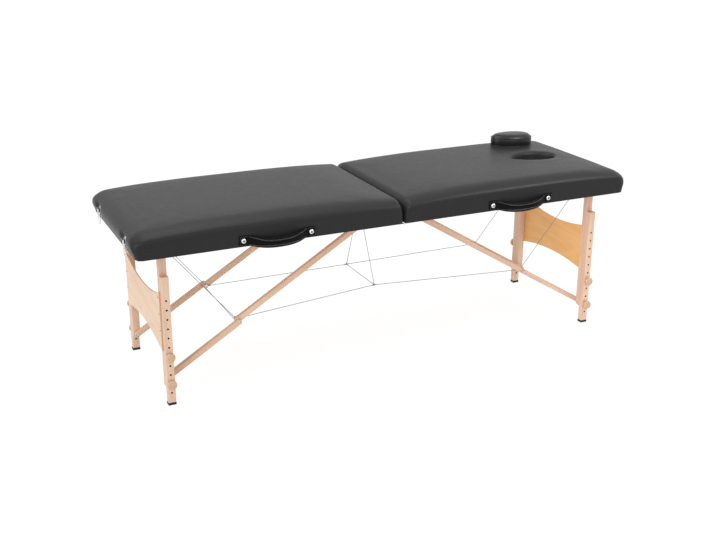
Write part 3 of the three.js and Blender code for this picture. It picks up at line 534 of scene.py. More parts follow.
PAD_VINYL = vinyl("black_vinyl")
HANDLE_VINYL = vinyl("handle_vinyl", 0.003, 0.3, 0.07)
PIPING_VINYL = vinyl("piping_vinyl", 0.008, 0.24, 0.45)
PLUG_VINYL = vinyl("plug_vinyl", 0.007, 0.27, 0.3)
CHROME = metal("bright_plated_steel", (0.78, 0.79, 0.81), 0.12)
ZINC = metal("zinc_plated_steel", (0.62, 0.63, 0.65), 0.24, 1.6)
DARK_STEEL = metal("dark_plated_steel", (0.22, 0.22, 0.23), 0.3, 1.2)
CABLE_STEEL = metal("cable_steel", (0.27, 0.28, 0.30), 0.34, 2.0)
TURNED = knob_wood()
RUBBER = rubber()
THREAD = thread()
# Painted shade: a near-black wood for the sleeves that darken the insides of the extensions' holes
BORE_SHADE_PAINT = wood("burnt_bore", (0.05, 0.026, 0.016), (0.03, 0.016, 0.01), (0, 0, math.pi / 2))


# Mesh making

SHARP_PAST = 38  # degrees between two faces
ALL_SMOOTH = 180


class Form:
    """Points and faces of one piece while it is made."""

    def __init__(self):
        self.points = []
        self.faces = []

    def stack(self, rings, closed=False):
        """Rings of equal count, joined one to the next, and closed to a loop or capped at both ends."""
        base = len(self.points)
        count = len(rings[0])
        for ring in rings:
            self.points.extend(Vector(p) for p in ring)
        last = len(rings) if closed else len(rings) - 1
        for r in range(last):
            s = (r + 1) % len(rings)
            for i in range(count):
                j = (i + 1) % count
                a, b = base + r * count + i, base + r * count + j
                self.faces.append((a, b, base + s * count + j, base + s * count + i))
        if not closed:
            self.fan(base, count)
            self.fan(base + last * count, count)
        return self

    def fan(self, first, count):
        hub = len(self.points)
        self.points.append(sum((self.points[first + i] for i in range(count)), Vector()) / count)
        self.faces.extend((hub, first + i, first + (i + 1) % count) for i in range(count))

    def turned(self, origin, axis, profile, sides=32):
        """A profile of (radius, distance) pairs turned about an axis."""
        axis = Vector(axis).normalized()
        across = axis.orthogonal().normalized()
        over = axis.cross(across)
        rings = []
        for radius, along in profile:
            centre = Vector(origin) + axis * along
            ways = (across * math.cos(t) + over * math.sin(t) for t in around(sides))
            rings.append([centre + way * radius for way in ways])
        return self.stack(rings)

    def tube(self, path, radius, sides=10, closed=False, section=None, lay=0.0):
        """A round or fluted wire along a path. lay is the length of one twist of its strands."""
        points = [Vector(p) for p in path]
        count = len(points)
        up = None
        rings = []
        walked = 0.0
        for i, point in enumerate(points):
            back = points[i - 1] if i or closed else point
            ahead = points[(i + 1) % count] if i + 1 < count or closed else point
            along = (ahead - back).normalized()
            if up is None:
                up = along.orthogonal().normalized()
            up = (up - along * up.dot(along)).normalized()
            over = along.cross(up)
            if i:
                walked += (point - points[i - 1]).length
            turn = 2 * math.pi * walked / lay if lay else 0.0
            ring = []
            for angle in around(sides):
                share = section(angle) if section else 1.0
                way = up * math.cos(angle + turn) + over * math.sin(angle + turn)
                ring.append(point + way * radius * share)
            rings.append(ring)
        return self.stack(rings, closed=closed)

    def slab(self, low, high, ease=0.0):
        """A box with eased edges."""
        low, high = Vector(low), Vector(high)
        rings = []
        for z, inset in ((low.z, ease), (low.z + ease, 0), (high.z - ease, 0), (high.z, ease)):
            x0, x1, y0, y1 = low.x + inset, high.x - inset, low.y + inset, high.y - inset
            rings.append([(x1 - ease, y0, z), (x1, y0 + ease, z), (x1, y1 - ease, z), (x1 - ease, y1, z),
                          (x0 + ease, y1, z), (x0, y1 - ease, z), (x0, y0 + ease, z), (x0 + ease, y0, z)])
        return self.stack(rings)

    def mesh(self, name):
        mesh = bpy.data.meshes.new(name)
        mesh.from_pydata([tuple(p) for p in self.points], [], self.faces)
        work = bmesh.new()
        work.from_mesh(mesh)
        bmesh.ops.remove_doubles(work, verts=work.verts, dist=1e-6)
        bmesh.ops.recalc_face_normals(work, faces=work.faces)
        work.to_mesh(mesh)
        work.free()
        return mesh

    def piece(self, name, material, body=None, sharp=SHARP_PAST):
        made = show(name, self.mesh(name), material, sharp)
        if body:
            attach(made, body)
        return made


def placed(name, data):
    """A new object in the scene."""
    made = bpy.data.objects.new(name, data)
    bpy.context.scene.collection.objects.link(made)
    return made


def show(name, mesh, material, sharp=SHARP_PAST):
    mesh.materials.clear()
    mesh.materials.append(material)
    mesh.shade_smooth()
    mesh.set_sharp_from_angle(angle=math.radians(sharp))
    return placed(name, mesh)


def spaced(start, end, step):
    count = max(1, round((end - start) / step))
    return [start + (end - start) * i / count for i in range(count + 1)]


# Repeats, as Geometry Nodes trees


class Repeat(Tree):
    """A Geometry Nodes tree with one geometry in, one out, and named sizes."""

    def __init__(self, name, sizes):
        group = bpy.data.node_groups.new(name, "GeometryNodeTree")
        super().__init__(group)
        group.interface.new_socket("Geometry", in_out="INPUT", socket_type="NodeSocketGeometry")
        group.interface.new_socket("Geometry", in_out="OUTPUT", socket_type="NodeSocketGeometry")
        for key, value in sizes.items():
            item = group.interface.new_socket(key, in_out="INPUT", socket_type="NodeSocketFloat")
            item.default_value = value

    def given(self, name):
        return self.node("NodeGroupInput", give=name)

    def close(self, geometry, material):
        real = self.node("GeometryNodeRealizeInstances", {}, {0: geometry})
        done = self.node("GeometryNodeSetMaterial", {}, {"Geometry": real, "Material": material})
        self.node("NodeGroupOutput", {}, {0: done})
        return self.tree


def run(name, base, group, material, body, sizes=None):
    """The tree's result on a base mesh, as a plain mesh that rides a body."""
    carrier = placed(name + "_base", base)
    modifier = carrier.modifiers.new("repeat", "NODES")
    modifier.node_group = group
    for item in group.interface.items_tree:
        if item.in_out == "INPUT" and item.name in (sizes or {}):
            modifier[item.identifier] = sizes[item.name]
    graph = bpy.context.evaluated_depsgraph_get()
    mesh = bpy.data.meshes.new_from_object(carrier.evaluated_get(graph), depsgraph=graph)
    bpy.data.objects.remove(carrier)
    made = show(name, mesh, material)
    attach(made, body)
    return made


def cubed(tree, size):
    """One size for all three axes."""
    return tree.node("ShaderNodeCombineXYZ", {}, {0: size, 1: size, 2: size})


def marks_tree(name, sample, material):
    """Copies of one small piece on marked points, each turned to its aim and spun at random."""
    t = Repeat(name, {"Scale": 1.0, "Spin": 1.0})
    aim = t.node("GeometryNodeInputNamedAttribute", {"data_type": "FLOAT_VECTOR"}, {"Name": "aim"})
    facing = t.node("FunctionNodeAlignRotationToVector", {"axis": "Z"}, {"Vector": aim})
    chance = t.node("FunctionNodeRandomValue", {"data_type": "FLOAT"}, {2: 0.0, 3: math.pi, "Seed": 3}, 1)
    start = t.node("GeometryNodeInputNamedAttribute", {"data_type": "FLOAT"}, {"Name": "turn"})
    angle = chance * t.given("Spin") + start
    spin = t.node("FunctionNodeAxisAngleToRotation", {}, {"Axis": (0, 0, 1), "Angle": angle})
    feeds = {"Rotation": facing, "Rotate By": spin}
    turned = t.node("FunctionNodeRotateRotation", {"rotation_space": "LOCAL"}, feeds)
    copy = t.node("GeometryNodeObjectInfo", {}, {"Object": sample}, "Geometry")
    feeds = {"Points": t.given("Geometry"), "Instance": copy, "Rotation": turned}
    feeds["Scale"] = cubed(t, t.given("Scale"))
    return t.close(t.node("GeometryNodeInstanceOnPoints", {}, feeds), material)


def row_tree(name, sample, material):
    """Copies of one small piece at an even pitch along a path, each lying along it."""
    t = Repeat(name, {"Pitch": STITCH_PITCH, "Scale": 1.0})
    path = t.node("GeometryNodeMeshToCurve", {}, {0: t.given("Geometry")})
    feeds = {"Curve": path, "Length": t.given("Pitch")}
    dots = t.node("GeometryNodeResampleCurve", {"mode": "LENGTH"}, feeds)
    along = t.node("GeometryNodeInputTangent")
    facing = t.node("FunctionNodeAlignRotationToVector", {"axis": "X"}, {"Vector": along})
    copy = t.node("GeometryNodeObjectInfo", {}, {"Object": sample}, "Geometry")
    feeds = {"Points": dots, "Instance": copy, "Rotation": facing, "Scale": cubed(t, t.given("Scale"))}
    return t.close(t.node("GeometryNodeInstanceOnPoints", {}, feeds), material)


def marks(points, aim, turns=None):
    """Points that share one aim, each with its own turn."""
    mesh = bpy.data.meshes.new("marks")
    mesh.from_pydata([tuple(p) for p in points], [], [])
    data = mesh.attributes.new("aim", "FLOAT_VECTOR", "POINT")
    data.data.foreach_set("vector", list(aim) * len(points))
    data = mesh.attributes.new("turn", "FLOAT", "POINT")
    data.data.foreach_set("value", turns or [0.0] * len(points))
    return mesh


def lines(paths):
    """Open paths as the edges of one mesh."""
    points, edges = [], []
    for path in paths:
        base = len(points)
        points.extend(tuple(p) for p in path)
        edges.extend((base + i, base + i + 1) for i in range(len(path) - 1))
    mesh = bpy.data.meshes.new("lines")
    mesh.from_pydata(points, edges, [])
    return mesh


def sample(form, name, material):
    """A piece that is copied by a tree and not shown itself."""
    made = show(name, form.mesh(name), material)
    made.hide_render = True
    return made


def cross_radius(angle, arm, half):
    """Distance from the middle to the edge of a cross-shaped recess."""
    lean = (angle + math.pi / 4) % (math.pi / 2) - math.pi / 4
    return min(arm / math.cos(lean), half / max(abs(math.sin(lean)), 1e-6))


def screw_head(radius=3.6 * MM):
    """A domed screw head with a cross recess, facing +Z from the surface it sits on."""
    turns = around(32)

    def ring(reach, height):
        return [(reach * math.cos(t), reach * math.sin(t), height) for t in turns]

    def cross(share, height):
        reach = [cross_radius(t, radius * 0.52, radius * 0.13) * share for t in turns]
        return [(r * math.cos(t), r * math.sin(t), height) for r, t in zip(reach, turns)]

    rise = radius * 0.42
    rings = [ring(radius * 0.9, 0), ring(radius, rise * 0.25), ring(radius * 0.92, rise * 0.62)]
    rings += [ring(radius * 0.7, rise * 0.92), cross(1.0, rise), cross(0.85, -rise * 0.2)]
    return Form().stack(rings)


def staple_bar(length=9 * MM, width=1.1 * MM, rise=0.45 * MM):
    return Form().slab((-length / 2, -width / 2, 0), (length / 2, width / 2, rise), width * 0.18)


def stitch_bar(length=2.6 * MM, radius=0.35 * MM):
    rings = []
    for share in (-1, -0.8, -0.4, 0, 0.4, 0.8, 1):
        fat = radius * math.sqrt(max(0.04, 1 - share ** 4))
        rings.append([(length / 2 * share, fat * math.cos(a), fat * math.sin(a)) for a in around(6)])
    return Form().stack(rings)


# Pads


def graded(low, high, edges, coarse):
    """Stations that are fine near both ends and coarse between."""
    first, last = (ROUND_REACH * edge for edge in edges)
    start = spaced(low, low + first, edges[0] / ROUND_CELLS)[:-1]
    end = spaced(high - last, high, edges[1] / ROUND_CELLS)[1:]
    return start + spaced(low + first, high - last, coarse) + end


def pad_sheet(side):
    """The outer skin of a pad as a grid folded over the top and down four sides, with rounded edges."""
    low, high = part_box("cushion_head" if side > 0 else "cushion_foot")
    top = high.z - PAD_MIDDLE_RISE - PAD_CROWN
    rounds = (PAD_FOLD_ROUND, PAD_ROUND_OUT) if side > 0 else (PAD_ROUND_OUT, PAD_FOLD_ROUND)
    xs = graded(low.x, high.x, rounds, PAD_GRID)
    ys = graded(low.y, high.y, (PAD_SIDE_ROUND, PAD_SIDE_ROUND), PAD_GRID)
    lip = top - ROUND_REACH * PAD_ROUND_UP
    zs = spaced(top, lip, -PAD_ROUND_UP / ROUND_CELLS)[:-1] + spaced(lip, underside, -0.6 * PAD_GRID)
    index, points, faces = {}, [], []

    def corner(i, j, k):
        key = (i, j, k)
        if key not in index:
            index[key] = len(points)
            points.append((xs[i], ys[j], zs[k]))
        return index[key]

    last_x, last_y, last_z = len(xs) - 1, len(ys) - 1, len(zs) - 1
    for i in range(last_x):
        for j in range(last_y):
            faces.append([corner(i, j, 0), corner(i + 1, j, 0), corner(i + 1, j + 1, 0), corner(i, j + 1, 0)])
    for k in range(last_z):
        for i in range(last_x):
            for j in (0, last_y):
                quad = [corner(i, j, k), corner(i, j, k + 1), corner(i + 1, j, k + 1), corner(i + 1, j, k)]
                faces.append(quad if j == 0 else quad[::-1])
        for j in range(last_y):
            for i in (0, last_x):
                quad = [corner(i, j, k), corner(i, j + 1, k), corner(i, j + 1, k + 1), corner(i, j, k + 1)]
                faces.append(quad if i == 0 else quad[::-1])
    flat = np.array(points)
    hole = None
    if side > 0:
        flat, faces, hole = open_face_hole(flat, faces, top, xs, ys)
    return shaped_pad(flat, low, high, top, rounds, side, hole), faces, hole


def hole_place():
    """Centre and half sizes of the face hole, from the deck's points well inside its edges."""
    low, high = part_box("deck_head")
    fold_margin, end_margin, aside = 100 * MM, 50 * MM, 100 * MM
    rim = [v.co for v in NODES["deck_head"].data.vertices
           if low.x + fold_margin < v.co.x < high.x - end_margin and abs(v.co.y - mid_y) < aside]
    xs, ys = [v.x for v in rim], [v.y for v in rim]
    widest = 1 + HOLE_EGG_SHARE ** 2 / 2
    centre = Vector(((min(xs) + max(xs)) / 2, (min(ys) + max(ys)) / 2))
    return centre, (max(xs) - min(xs)) / 2, (max(ys) - min(ys)) / 2 / widest


def egg(centre, half_x, half_y, angle):
    """A point of an oval that is wider at its +X end."""
    y = half_y * np.sin(angle) * (1 + HOLE_EGG_SHARE * np.cos(angle))
    return centre[0] + half_x * np.cos(angle), centre[1] + y


def open_face_hole(flat, faces, top, xs, ys):
    """Takes out the grid's cells over the hole and draws the rest onto its oval."""
    centre, half_x, half_y = hole_place()
    reach_x, reach_y = half_x + HOLE_LIP, half_y + HOLE_LIP
    wide, deep = reach_x * HOLE_GRID_SHARE, reach_y * HOLE_GRID_SHARE
    x0, x1 = (min(xs, key=lambda x: abs(x - centre.x - way * wide)) for way in (-1, 1))
    y0, y1 = (min(ys, key=lambda y: abs(y - centre.y - way * deep)) for way in (-1, 1))
    rel = (flat[:, :2] - [(x0 + x1) / 2, (y0 + y1) / 2]) / [(x1 - x0) / 2, (y1 - y0) / 2]
    square = np.maximum(abs(rel[:, 0]), abs(rel[:, 1]))
    on_top = flat[:, 2] > top - 1e-6
    inside = on_top & (square < 0.999)
    faces = [f for f in faces if not any(inside[i] for i in f)]
    oval = np.stack(egg(centre, reach_x * square, reach_y * square, np.arctan2(rel[:, 1], rel[:, 0])), 1)
    ease = smoothly(-square, -HOLE_EASE_TO, -1)[:, None]
    flat[on_top, :2] = (flat[:, :2] * (1 - ease) + oval * ease)[on_top]
    used = sorted({i for f in faces for i in f})
    renumber = {old: new for new, old in enumerate(used)}
    faces = [[renumber[i] for i in f] for f in faces]
    return flat[used], faces, (centre, half_x, half_y)


def smoothly(value, low, high):
    """0 below low, 1 above high, and smooth in between."""
    share = np.clip((value - low) / (high - low), 0, 1)
    return share * share * (3 - 2 * share)


def dome(x, y, low, high):
    """How far a pad's top stands above the top of its ends."""
    across = np.minimum(1, abs(x - (low.x + high.x) / 2) / ((high.x - low.x) / 2))
    along = np.minimum(1, abs(y - (low.y + high.y) / 2) / ((high.y - low.y) / 2))
    return PAD_MIDDLE_RISE * (1 - across ** 3), PAD_CROWN * (1 - across ** 4) * (1 - along ** 4)


def dimples(points, side):
    """1 round the latches or keepers, which press the cover flat, and 0 away from them."""
    pressed = np.zeros(len(points))
    for flank in FLANKS:
        centre = middle(f"keeper_{flank}" if side > 0 else f"latch_base_{flank}")
        widths = [DIMPLE_WIDE * share for share in DIMPLE_WIDE_SHARES]
        heights = [DIMPLE_HIGH * share for share in DIMPLE_HIGH_SHARES]
        aside = 1 - smoothly(abs(points[:, 1] - centre.y), *widths)
        upward = 1 - smoothly(abs(points[:, 2] - centre.z), *heights)
        pressed = np.maximum(pressed, aside * upward)
    return pressed


def shaped_pad(flat, low, high, top, rounds, side, hole):
    """Rounds the edges and corners, lifts the dome, swells the ends and folds the corner tucks."""
    raised = smoothly(flat[:, 2], frame_top, top - PAD_ROUND_UP)
    loose = smoothly(flat[:, 2], frame_top - LOOSE_BELOW_FRAME, top)
    at_low = flat[:, 0] < (low.x + high.x) / 2
    round_x = np.where(at_low, rounds[0], rounds[1])
    round_x = PAD_CORNER + (round_x - PAD_CORNER) * loose
    round_y = PAD_CORNER + (PAD_SIDE_ROUND - PAD_CORNER) * loose
    inner = np.stack((np.clip(flat[:, 0], low.x + round_x, high.x - round_x),
                      np.clip(flat[:, 1], low.y + round_y, high.y - round_y),
                      np.minimum(flat[:, 2], top - PAD_ROUND_UP)), 1)
    radii = np.stack((round_x, round_y, np.full(len(flat), PAD_ROUND_UP)), 1)
    lean = (flat - inner) / radii
    outward = lean / np.maximum(np.linalg.norm(lean, axis=1, keepdims=True), 1e-9)
    shaped = inner + outward * radii
    middle_rise, crown = dome(shaped[:, 0], shaped[:, 1], low, high)
    shaped[:, 2] += middle_rise * raised + crown * np.clip(outward[:, 2], 0, 1)
    is_end = at_low if side < 0 else ~at_low
    end_bulge = END_BULGE * smoothly(flat[:, 2], underside, frame_top + END_BULGE_TO)
    end_bulge = end_bulge * (1 - dimples(flat, side))
    side_bulge = SIDE_BULGE * smoothly(flat[:, 2], frame_top, frame_top + SIDE_BULGE_TO)
    shaped[:, 0] += outward[:, 0] * end_bulge * is_end
    shaped[:, 1] += outward[:, 1] * side_bulge
    turn = np.degrees(np.arctan2(abs(outward[:, 1]), abs(outward[:, 0])))
    level = 1 - smoothly(abs(outward[:, 2]), 0, WALL_LEAN)
    spread = math.degrees(TUCK_WIDTH / PAD_CORNER)
    crease = np.exp(-((turn - TUCK_TURN) / spread) ** 2 * TUCK_SHARPNESS)
    lap = np.exp(-((turn - LAP_TURN) / (LAP_WIDTH_SHARE * spread)) ** 2 * LAP_SHARPNESS)
    corner = (abs(outward[:, 0]) > CORNER_LEAN) & (abs(outward[:, 1]) > CORNER_LEAN)
    depth = (LAP_SHARE * TUCK_DEPTH * lap - TUCK_DEPTH * crease) * level * corner
    shaped[:, :2] += outward[:, :2] * depth[:, None]
    if hole:
        centre, half_x, half_y = hole
        away = (shaped[:, :2] - tuple(centre)) / (half_x + HOLE_LIP, half_y + HOLE_LIP)
        near_lip = np.exp(-((np.hypot(*away.T) - HOLE_PUFF_AT) / HOLE_PUFF_WIDTH) ** 2)
        shaped[:, 2] += HOLE_PUFF * near_lip * (outward[:, 2] > TOP_LEAN)
    return shaped


def hole_wall(work, hole):
    """Carries the hole's edge over the lip and straight down the wall to the deck."""
    centre, half_x, half_y = hole
    rim = {v for e in work.edges if e.is_boundary for v in e.verts if v.co.z > frame_top + HOLE_LIP}

    def angle_of(v):
        ahead = (v.co.x - centre.x) / (half_x + HOLE_LIP)
        aside = (v.co.y - centre.y) / (half_y + HOLE_LIP)
        return math.atan2(aside / (1 + HOLE_EGG_SHARE * max(-1, min(1, ahead))), ahead)

    above = sorted(rim, key=angle_of)
    angles, heights = [angle_of(v) for v in above], [v.co.z for v in above]
    bottom = deck_bottom + HOLE_WALL_SHORT
    arcs = quarter(6)[1:]
    levels = [(HOLE_LIP * (1 - math.sin(a)), HOLE_LIP * (1 - math.cos(a)), 0) for a in arcs]
    walls = max(2, round((max(heights) - HOLE_LIP - bottom) / HOLE_WALL_STEP))
    levels += [(0, HOLE_LIP, (step + 1) / walls) for step in range(walls)]
    for spread, drop, share in levels:
        below = []
        for angle, height in zip(angles, heights):
            x, y = egg(centre, half_x + spread, half_y + spread, angle)
            z = height - drop
            below.append(work.verts.new((x, y, z + (bottom - z) * share)))
        for i in range(len(above)):
            j = (i + 1) % len(above)
            work.faces.new((above[i], above[j], below[j], below[i]))
        above = below


def evened(mesh, shift, rounds=8, kept=0.4):
    """Spreads the moves of neighbouring points, so that no crease is left between them."""
    ends = np.array([e.vertices for e in mesh.edges])
    count = np.bincount(ends.ravel(), minlength=len(shift))[:, None]
    for _ in range(rounds):
        total = np.zeros_like(shift)
        np.add.at(total, ends[:, 0], shift[ends[:, 1]])
        np.add.at(total, ends[:, 1], shift[ends[:, 0]])
        shift = kept * shift + (1 - kept) * total / np.maximum(count, 1)
    return shift


def swell(made, pinned, cap, pressure=3.0):
    """Blows the skin up a little as cloth over foam and caps how far a point may move."""
    rest = np.array([v.co for v in made.data.vertices])
    group = made.vertex_groups.new(name="held")
    for i, weight in enumerate(pinned):
        if weight > 0:
            group.add([i], float(weight), "REPLACE")
    cloth = made.modifiers.new("swell", "CLOTH")
    cloth.settings.quality = 5
    cloth.settings.mass = 0.4
    cloth.settings.tension_stiffness = 25
    cloth.settings.compression_stiffness = 25
    cloth.settings.shear_stiffness = 8
    cloth.settings.bending_stiffness = 1.5
    cloth.settings.use_pressure = True
    cloth.settings.uniform_pressure_force = pressure
    cloth.settings.effector_weights.gravity = 0
    cloth.settings.vertex_group_mass = "held"
    cloth.collision_settings.use_self_collision = False
    cloth.point_cache.frame_start, cloth.point_cache.frame_end = 1, SWELL_STEPS
    scene = bpy.context.scene
    for step in range(1, SWELL_STEPS + 1):
        scene.frame_set(step)
    graph = bpy.context.evaluated_depsgraph_get()
    moved = np.array([v.co for v in made.evaluated_get(graph).data.vertices])
    made.modifiers.clear()
    scene.frame_set(1)
    shift = moved - rest
    far = np.linalg.norm(shift, axis=1, keepdims=True)
    shift = evened(made.data, shift * cap / np.maximum(far, 1e-9) * np.tanh(far / cap))
    made.data.vertices.foreach_set("co", (rest + shift).ravel())
    made.vertex_groups.clear()


def pad(name, side):
    """One padded half: its rounded skin, swelled over the frame, with the face hole's wall."""
    points, faces, hole = pad_sheet(side)
    mesh = bpy.data.meshes.new(f"pad_{name}")
    mesh.from_pydata(points.tolist(), [], faces)
    if hole:
        work = bmesh.new()
        work.from_mesh(mesh)
        hole_wall(work, hole)
        work.to_mesh(mesh)
        work.free()
    made = show(f"pad_{name}", mesh, PAD_VINYL, ALL_SMOOTH)
    height = np.array([v.co.z for v in mesh.vertices])
    pinned = np.clip((frame_top + PAD_FREE_ABOVE - height) / PAD_HELD_FADE, 0, 1) ** 0.5
    swell(made, pinned, PAD_SWELL)
    thick = made.modifiers.new("foam_skin", "SOLIDIFY")
    thick.thickness, thick.offset, thick.use_even_offset = PAD_SKIN, -1, True
    smooth = made.modifiers.new("smooth", "SUBSURF")
    smooth.levels = smooth.render_levels = 1
    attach(made, f"section_{name}")
    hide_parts(f"cushion_{name}")


# Plug of the face hole


def face_plug():
    """The plug: a flat foot, a seamed wall and a domed top, with piping along both seams."""
    low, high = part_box("face_plug")
    _, half_x, half_y = hole_place()
    centre = (low + high) / 2
    trim = half_x - (high.x - low.x) / 2
    half_x, half_y = half_x - trim, half_y - trim
    points = np.array([v.co for v in NODES["face_plug"].data.vertices])
    first, last = (points[abs(points[:, 0] - x) < PLUG_END_NEAR][:, 2].min() for x in (low.x, high.x))
    slope = (last - first) / (high.x - low.x)
    level = points[:, 2] - slope * (points[:, 0] - centre.x)
    base, seam = level.min(), level.max() - PLUG_CROWN - PLUG_SEAM_DROP
    turns = np.array(around(PLUG_SIDES))
    wall = seam - base

    def ring(inset, z):
        across, along = egg(centre, half_x - inset, half_y - inset, turns)
        return [(x, y, z + slope * (x - centre.x)) for x, y in zip(across, along)]

    edge = PLUG_EDGE
    rings = [ring(edge + half_y * share, base) for share in PLUG_FOOT_SHARES]
    arcs = quarter(5)
    rings += [ring(edge * (1 - math.sin(a)), base + edge * (1 - math.cos(a))) for a in arcs]
    for k in range(1, PLUG_WALL_STEPS):
        bulge = PLUG_BULGE * math.sin(math.pi * k / PLUG_WALL_STEPS)
        rings.append(ring(-bulge, base + edge + (wall - 2 * edge) * k / PLUG_WALL_STEPS))
    rings += [ring(edge * (1 - math.cos(a)), seam - edge * (1 - math.sin(a))) for a in arcs]
    flat = half_y - edge
    for share in PLUG_DOME_SHARES:
        rings.append(ring(edge + flat * share, seam + PLUG_DOME * (1 - (1 - share) ** 5) ** 0.85))
    made = Form().stack(rings).piece("plug_cushion", PLUG_VINYL, sharp=ALL_SMOOTH)
    z = np.array([v.co.z - slope * (v.co.x - centre.x) for v in made.data.vertices])
    seams = np.maximum(np.exp(-((z - seam) / PLUG_SEAM_HOLD) ** 2), z < base + PLUG_FOOT_HOLD)
    swell(made, np.clip(seams * 1.2, 0, 1), PLUG_SWELL, pressure=2.0)
    smooth = made.modifiers.new("smooth", "SUBSURF")
    smooth.levels = smooth.render_levels = 1
    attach(made, "face_plug")
    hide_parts("face_plug")
    piping = Form()
    for z in (seam - PIPING_BELOW_SEAM, base + PIPING_RADIUS + PIPING_ABOVE_BASE):
        piping.tube(ring(PIPING_SUNK, z), PIPING_RADIUS, 10, closed=True)
    piping.piece("plug_piping", PLUG_VINYL, "face_plug", ALL_SMOOTH)
    stitches = [ring(PLUG_STITCH_SUNK - PLUG_BULGE * 0.4, seam - PLUG_STITCH_DROP)]
    made = run("plug_stitches", lines(stitches), STITCH_ROW, THREAD, "face_plug")


# Camera, light and floor


def camera():
    data = bpy.data.cameras.new("camera")
    data.sensor_fit, data.sensor_width, data.lens = "HORIZONTAL", SENSOR_WIDTH, CAMERA_LENS
    data.shift_x, data.shift_y = CAMERA_SHIFT
    data.clip_start, data.clip_end = 0.05, 60
    eye = placed("camera", data)
    eye.location = CAMERA_AT
    level = math.cos(CAMERA_PITCH)
    aim = Vector((math.sin(CAMERA_YAW) * level, math.cos(CAMERA_YAW) * level, -math.sin(CAMERA_PITCH)))
    turn = aim.to_track_quat("-Z", "Y").to_matrix() @ Matrix.Rotation(CAMERA_ROLL, 3, "Z")
    eye.rotation_euler = turn.to_euler()
    bpy.context.scene.camera = eye


def lamp(name, place, aim, size, power):
    data = bpy.data.lights.new(name, "AREA")
    data.shape, data.size, data.energy = "DISK", size, power
    made = placed(name, data)
    made.location = place
    made.rotation_euler = (Vector(aim) - Vector(place)).to_track_quat("-Z", "Y").to_euler()


def sun(name, way, power):
    """A wide, even light that comes from one side."""
    data = bpy.data.lights.new(name, "SUN")
    data.energy, data.angle = power, SUN_WIDTH
    placed(name, data).rotation_euler = (-Vector(way)).to_track_quat("-Z", "Y").to_euler()


def floor():
    """A pale floor that the camera sees as white, with the table's faint shadow, and not from below."""
    mesh = bpy.data.meshes.new("floor")
    corners = [(x * FLOOR_REACH, y * FLOOR_REACH, 0) for x, y in ((-1, -1), (1, -1), (1, 1), (-1, 1))]
    mesh.from_pydata(corners, [], [(0, 1, 2, 3)])
    f = Finish("pale_floor")
    seen = f.node("ShaderNodeLightPath", give="Is Camera Ray")
    glossy = f.node("ShaderNodeLightPath", give="Is Glossy Ray")
    clear = f.node("ShaderNodeLightPath", give="Is Transmission Ray")
    matt = f.node("ShaderNodeBsdfDiffuse", {}, {"Color": FLOOR_GRAY})
    glow = f.node("ShaderNodeEmission", {}, {"Color": WHITE, "Strength": FLOOR_WHITE})
    share = seen * FLOOR_GLOW + glossy * 0.5 + clear * 0.5
    upper = f.node("ShaderNodeMixShader", {}, {0: share, 1: matt, 2: glow})
    below = f.node("ShaderNodeNewGeometry", give="Backfacing")
    open_side = f.node("ShaderNodeBsdfTransparent")
    f.node_out(f.node("ShaderNodeMixShader", {}, {0: below, 1: upper, 2: open_side}))
    mesh.materials.append(f.material)
    made = placed("floor", mesh)


def world():
    """A white background that lights the table more softly than the camera sees it."""
    made = bpy.data.worlds.new("studio")
    made.use_nodes = True
    bpy.context.scene.world = made
    t = Tree(made.node_tree)
    made.node_tree.nodes.clear()
    rays = ("Is Camera Ray", "Is Glossy Ray", "Is Transmission Ray")
    camera_ray, glossy, clear = (t.node("ShaderNodeLightPath", give=ray) for ray in rays)
    share = (camera_ray + glossy + clear).math("MINIMUM", 1.0)
    soft = t.node("ShaderNodeBackground", {}, {"Color": WHITE, "Strength": SKY_LIGHT})
    white = t.node("ShaderNodeBackground", {}, {"Color": WHITE, "Strength": 1.0})
    mixed = t.node("ShaderNodeMixShader", {}, {0: share, 1: soft, 2: white})
    t.node("ShaderNodeOutputWorld", {}, {"Surface": mixed})


def studio():
    bpy.context.scene.view_settings.view_transform = "Standard"
    camera()
    world()
    floor()
    sun("low_left", SUN_WAY, SUN_POWER)
    for name, (place, aim, size, power) in LAMPS.items():
        lamp(name, place, aim, size, power)


# Wood


def dress(node, material):
    NODES[node].data.materials.clear()
    NODES[node].data.materials.append(material)


def lean_of(node, side):
    """The slope of a brace in X and Z, from its box."""
    low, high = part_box(node)
    return math.atan2(high.z - low.z, high.x - low.x) * side


BEECH = (BEECH_PALE, BEECH_DEEP)
ALONG_Z = (0, math.pi / 2, 0)
upright = wood("beech_upright", *BEECH, ALONG_Z)
upright_second = wood("beech_upright_second", *BEECH, ALONG_Z, (0.4, 0.3, 0.2), 0.8)
rail_wood = wood("beech_rail", *BEECH)
deck_wood = wood("deck_plywood", (0.74, 0.53, 0.33), (0.60, 0.40, 0.22), figure=0.8)
for half, side in HALVES.items():
    dress(f"frame_{half}", rail_wood)
    dress(f"deck_{half}", deck_wood)
    dress(f"end_panel_{half}", panel_wood(f"bent_panel_{half}", side, VENEER, INWARD_FACE_COLOUR))
    slope = wood(f"beech_brace_{half}", *BEECH, (0, -lean_of(f"upper_brace_{half}_near", side), 0))
    for flank in FLANKS:
        end = f"{half}_{flank}"
        dress(f"post_{end}", upright)
        dress(f"extension_{end}", upright_second)
        dress(f"upper_brace_{end}", slope)
        dress(f"lower_brace_{end}", slope)
        dress(f"rubber_tip_{end}", RUBBER)
        dress(f"knee_pin_{end}", ZINC)
    for node in ("leg_pivot_rod", "brace_pivot_rod", "hinge_leaf"):
        dress(f"{node}_{half}", ZINC)
    dress(f"stay_cable_{half}", CABLE_STEEL)
    dress(f"handle_{half}", HANDLE_VINYL)
dress("cable_net", CABLE_STEEL)
for flank in FLANKS:
    for node in ("latch_base", "latch_lever", "latch_bail", "keeper"):
        dress(f"{node}_{flank}", CHROME)


# Knobs


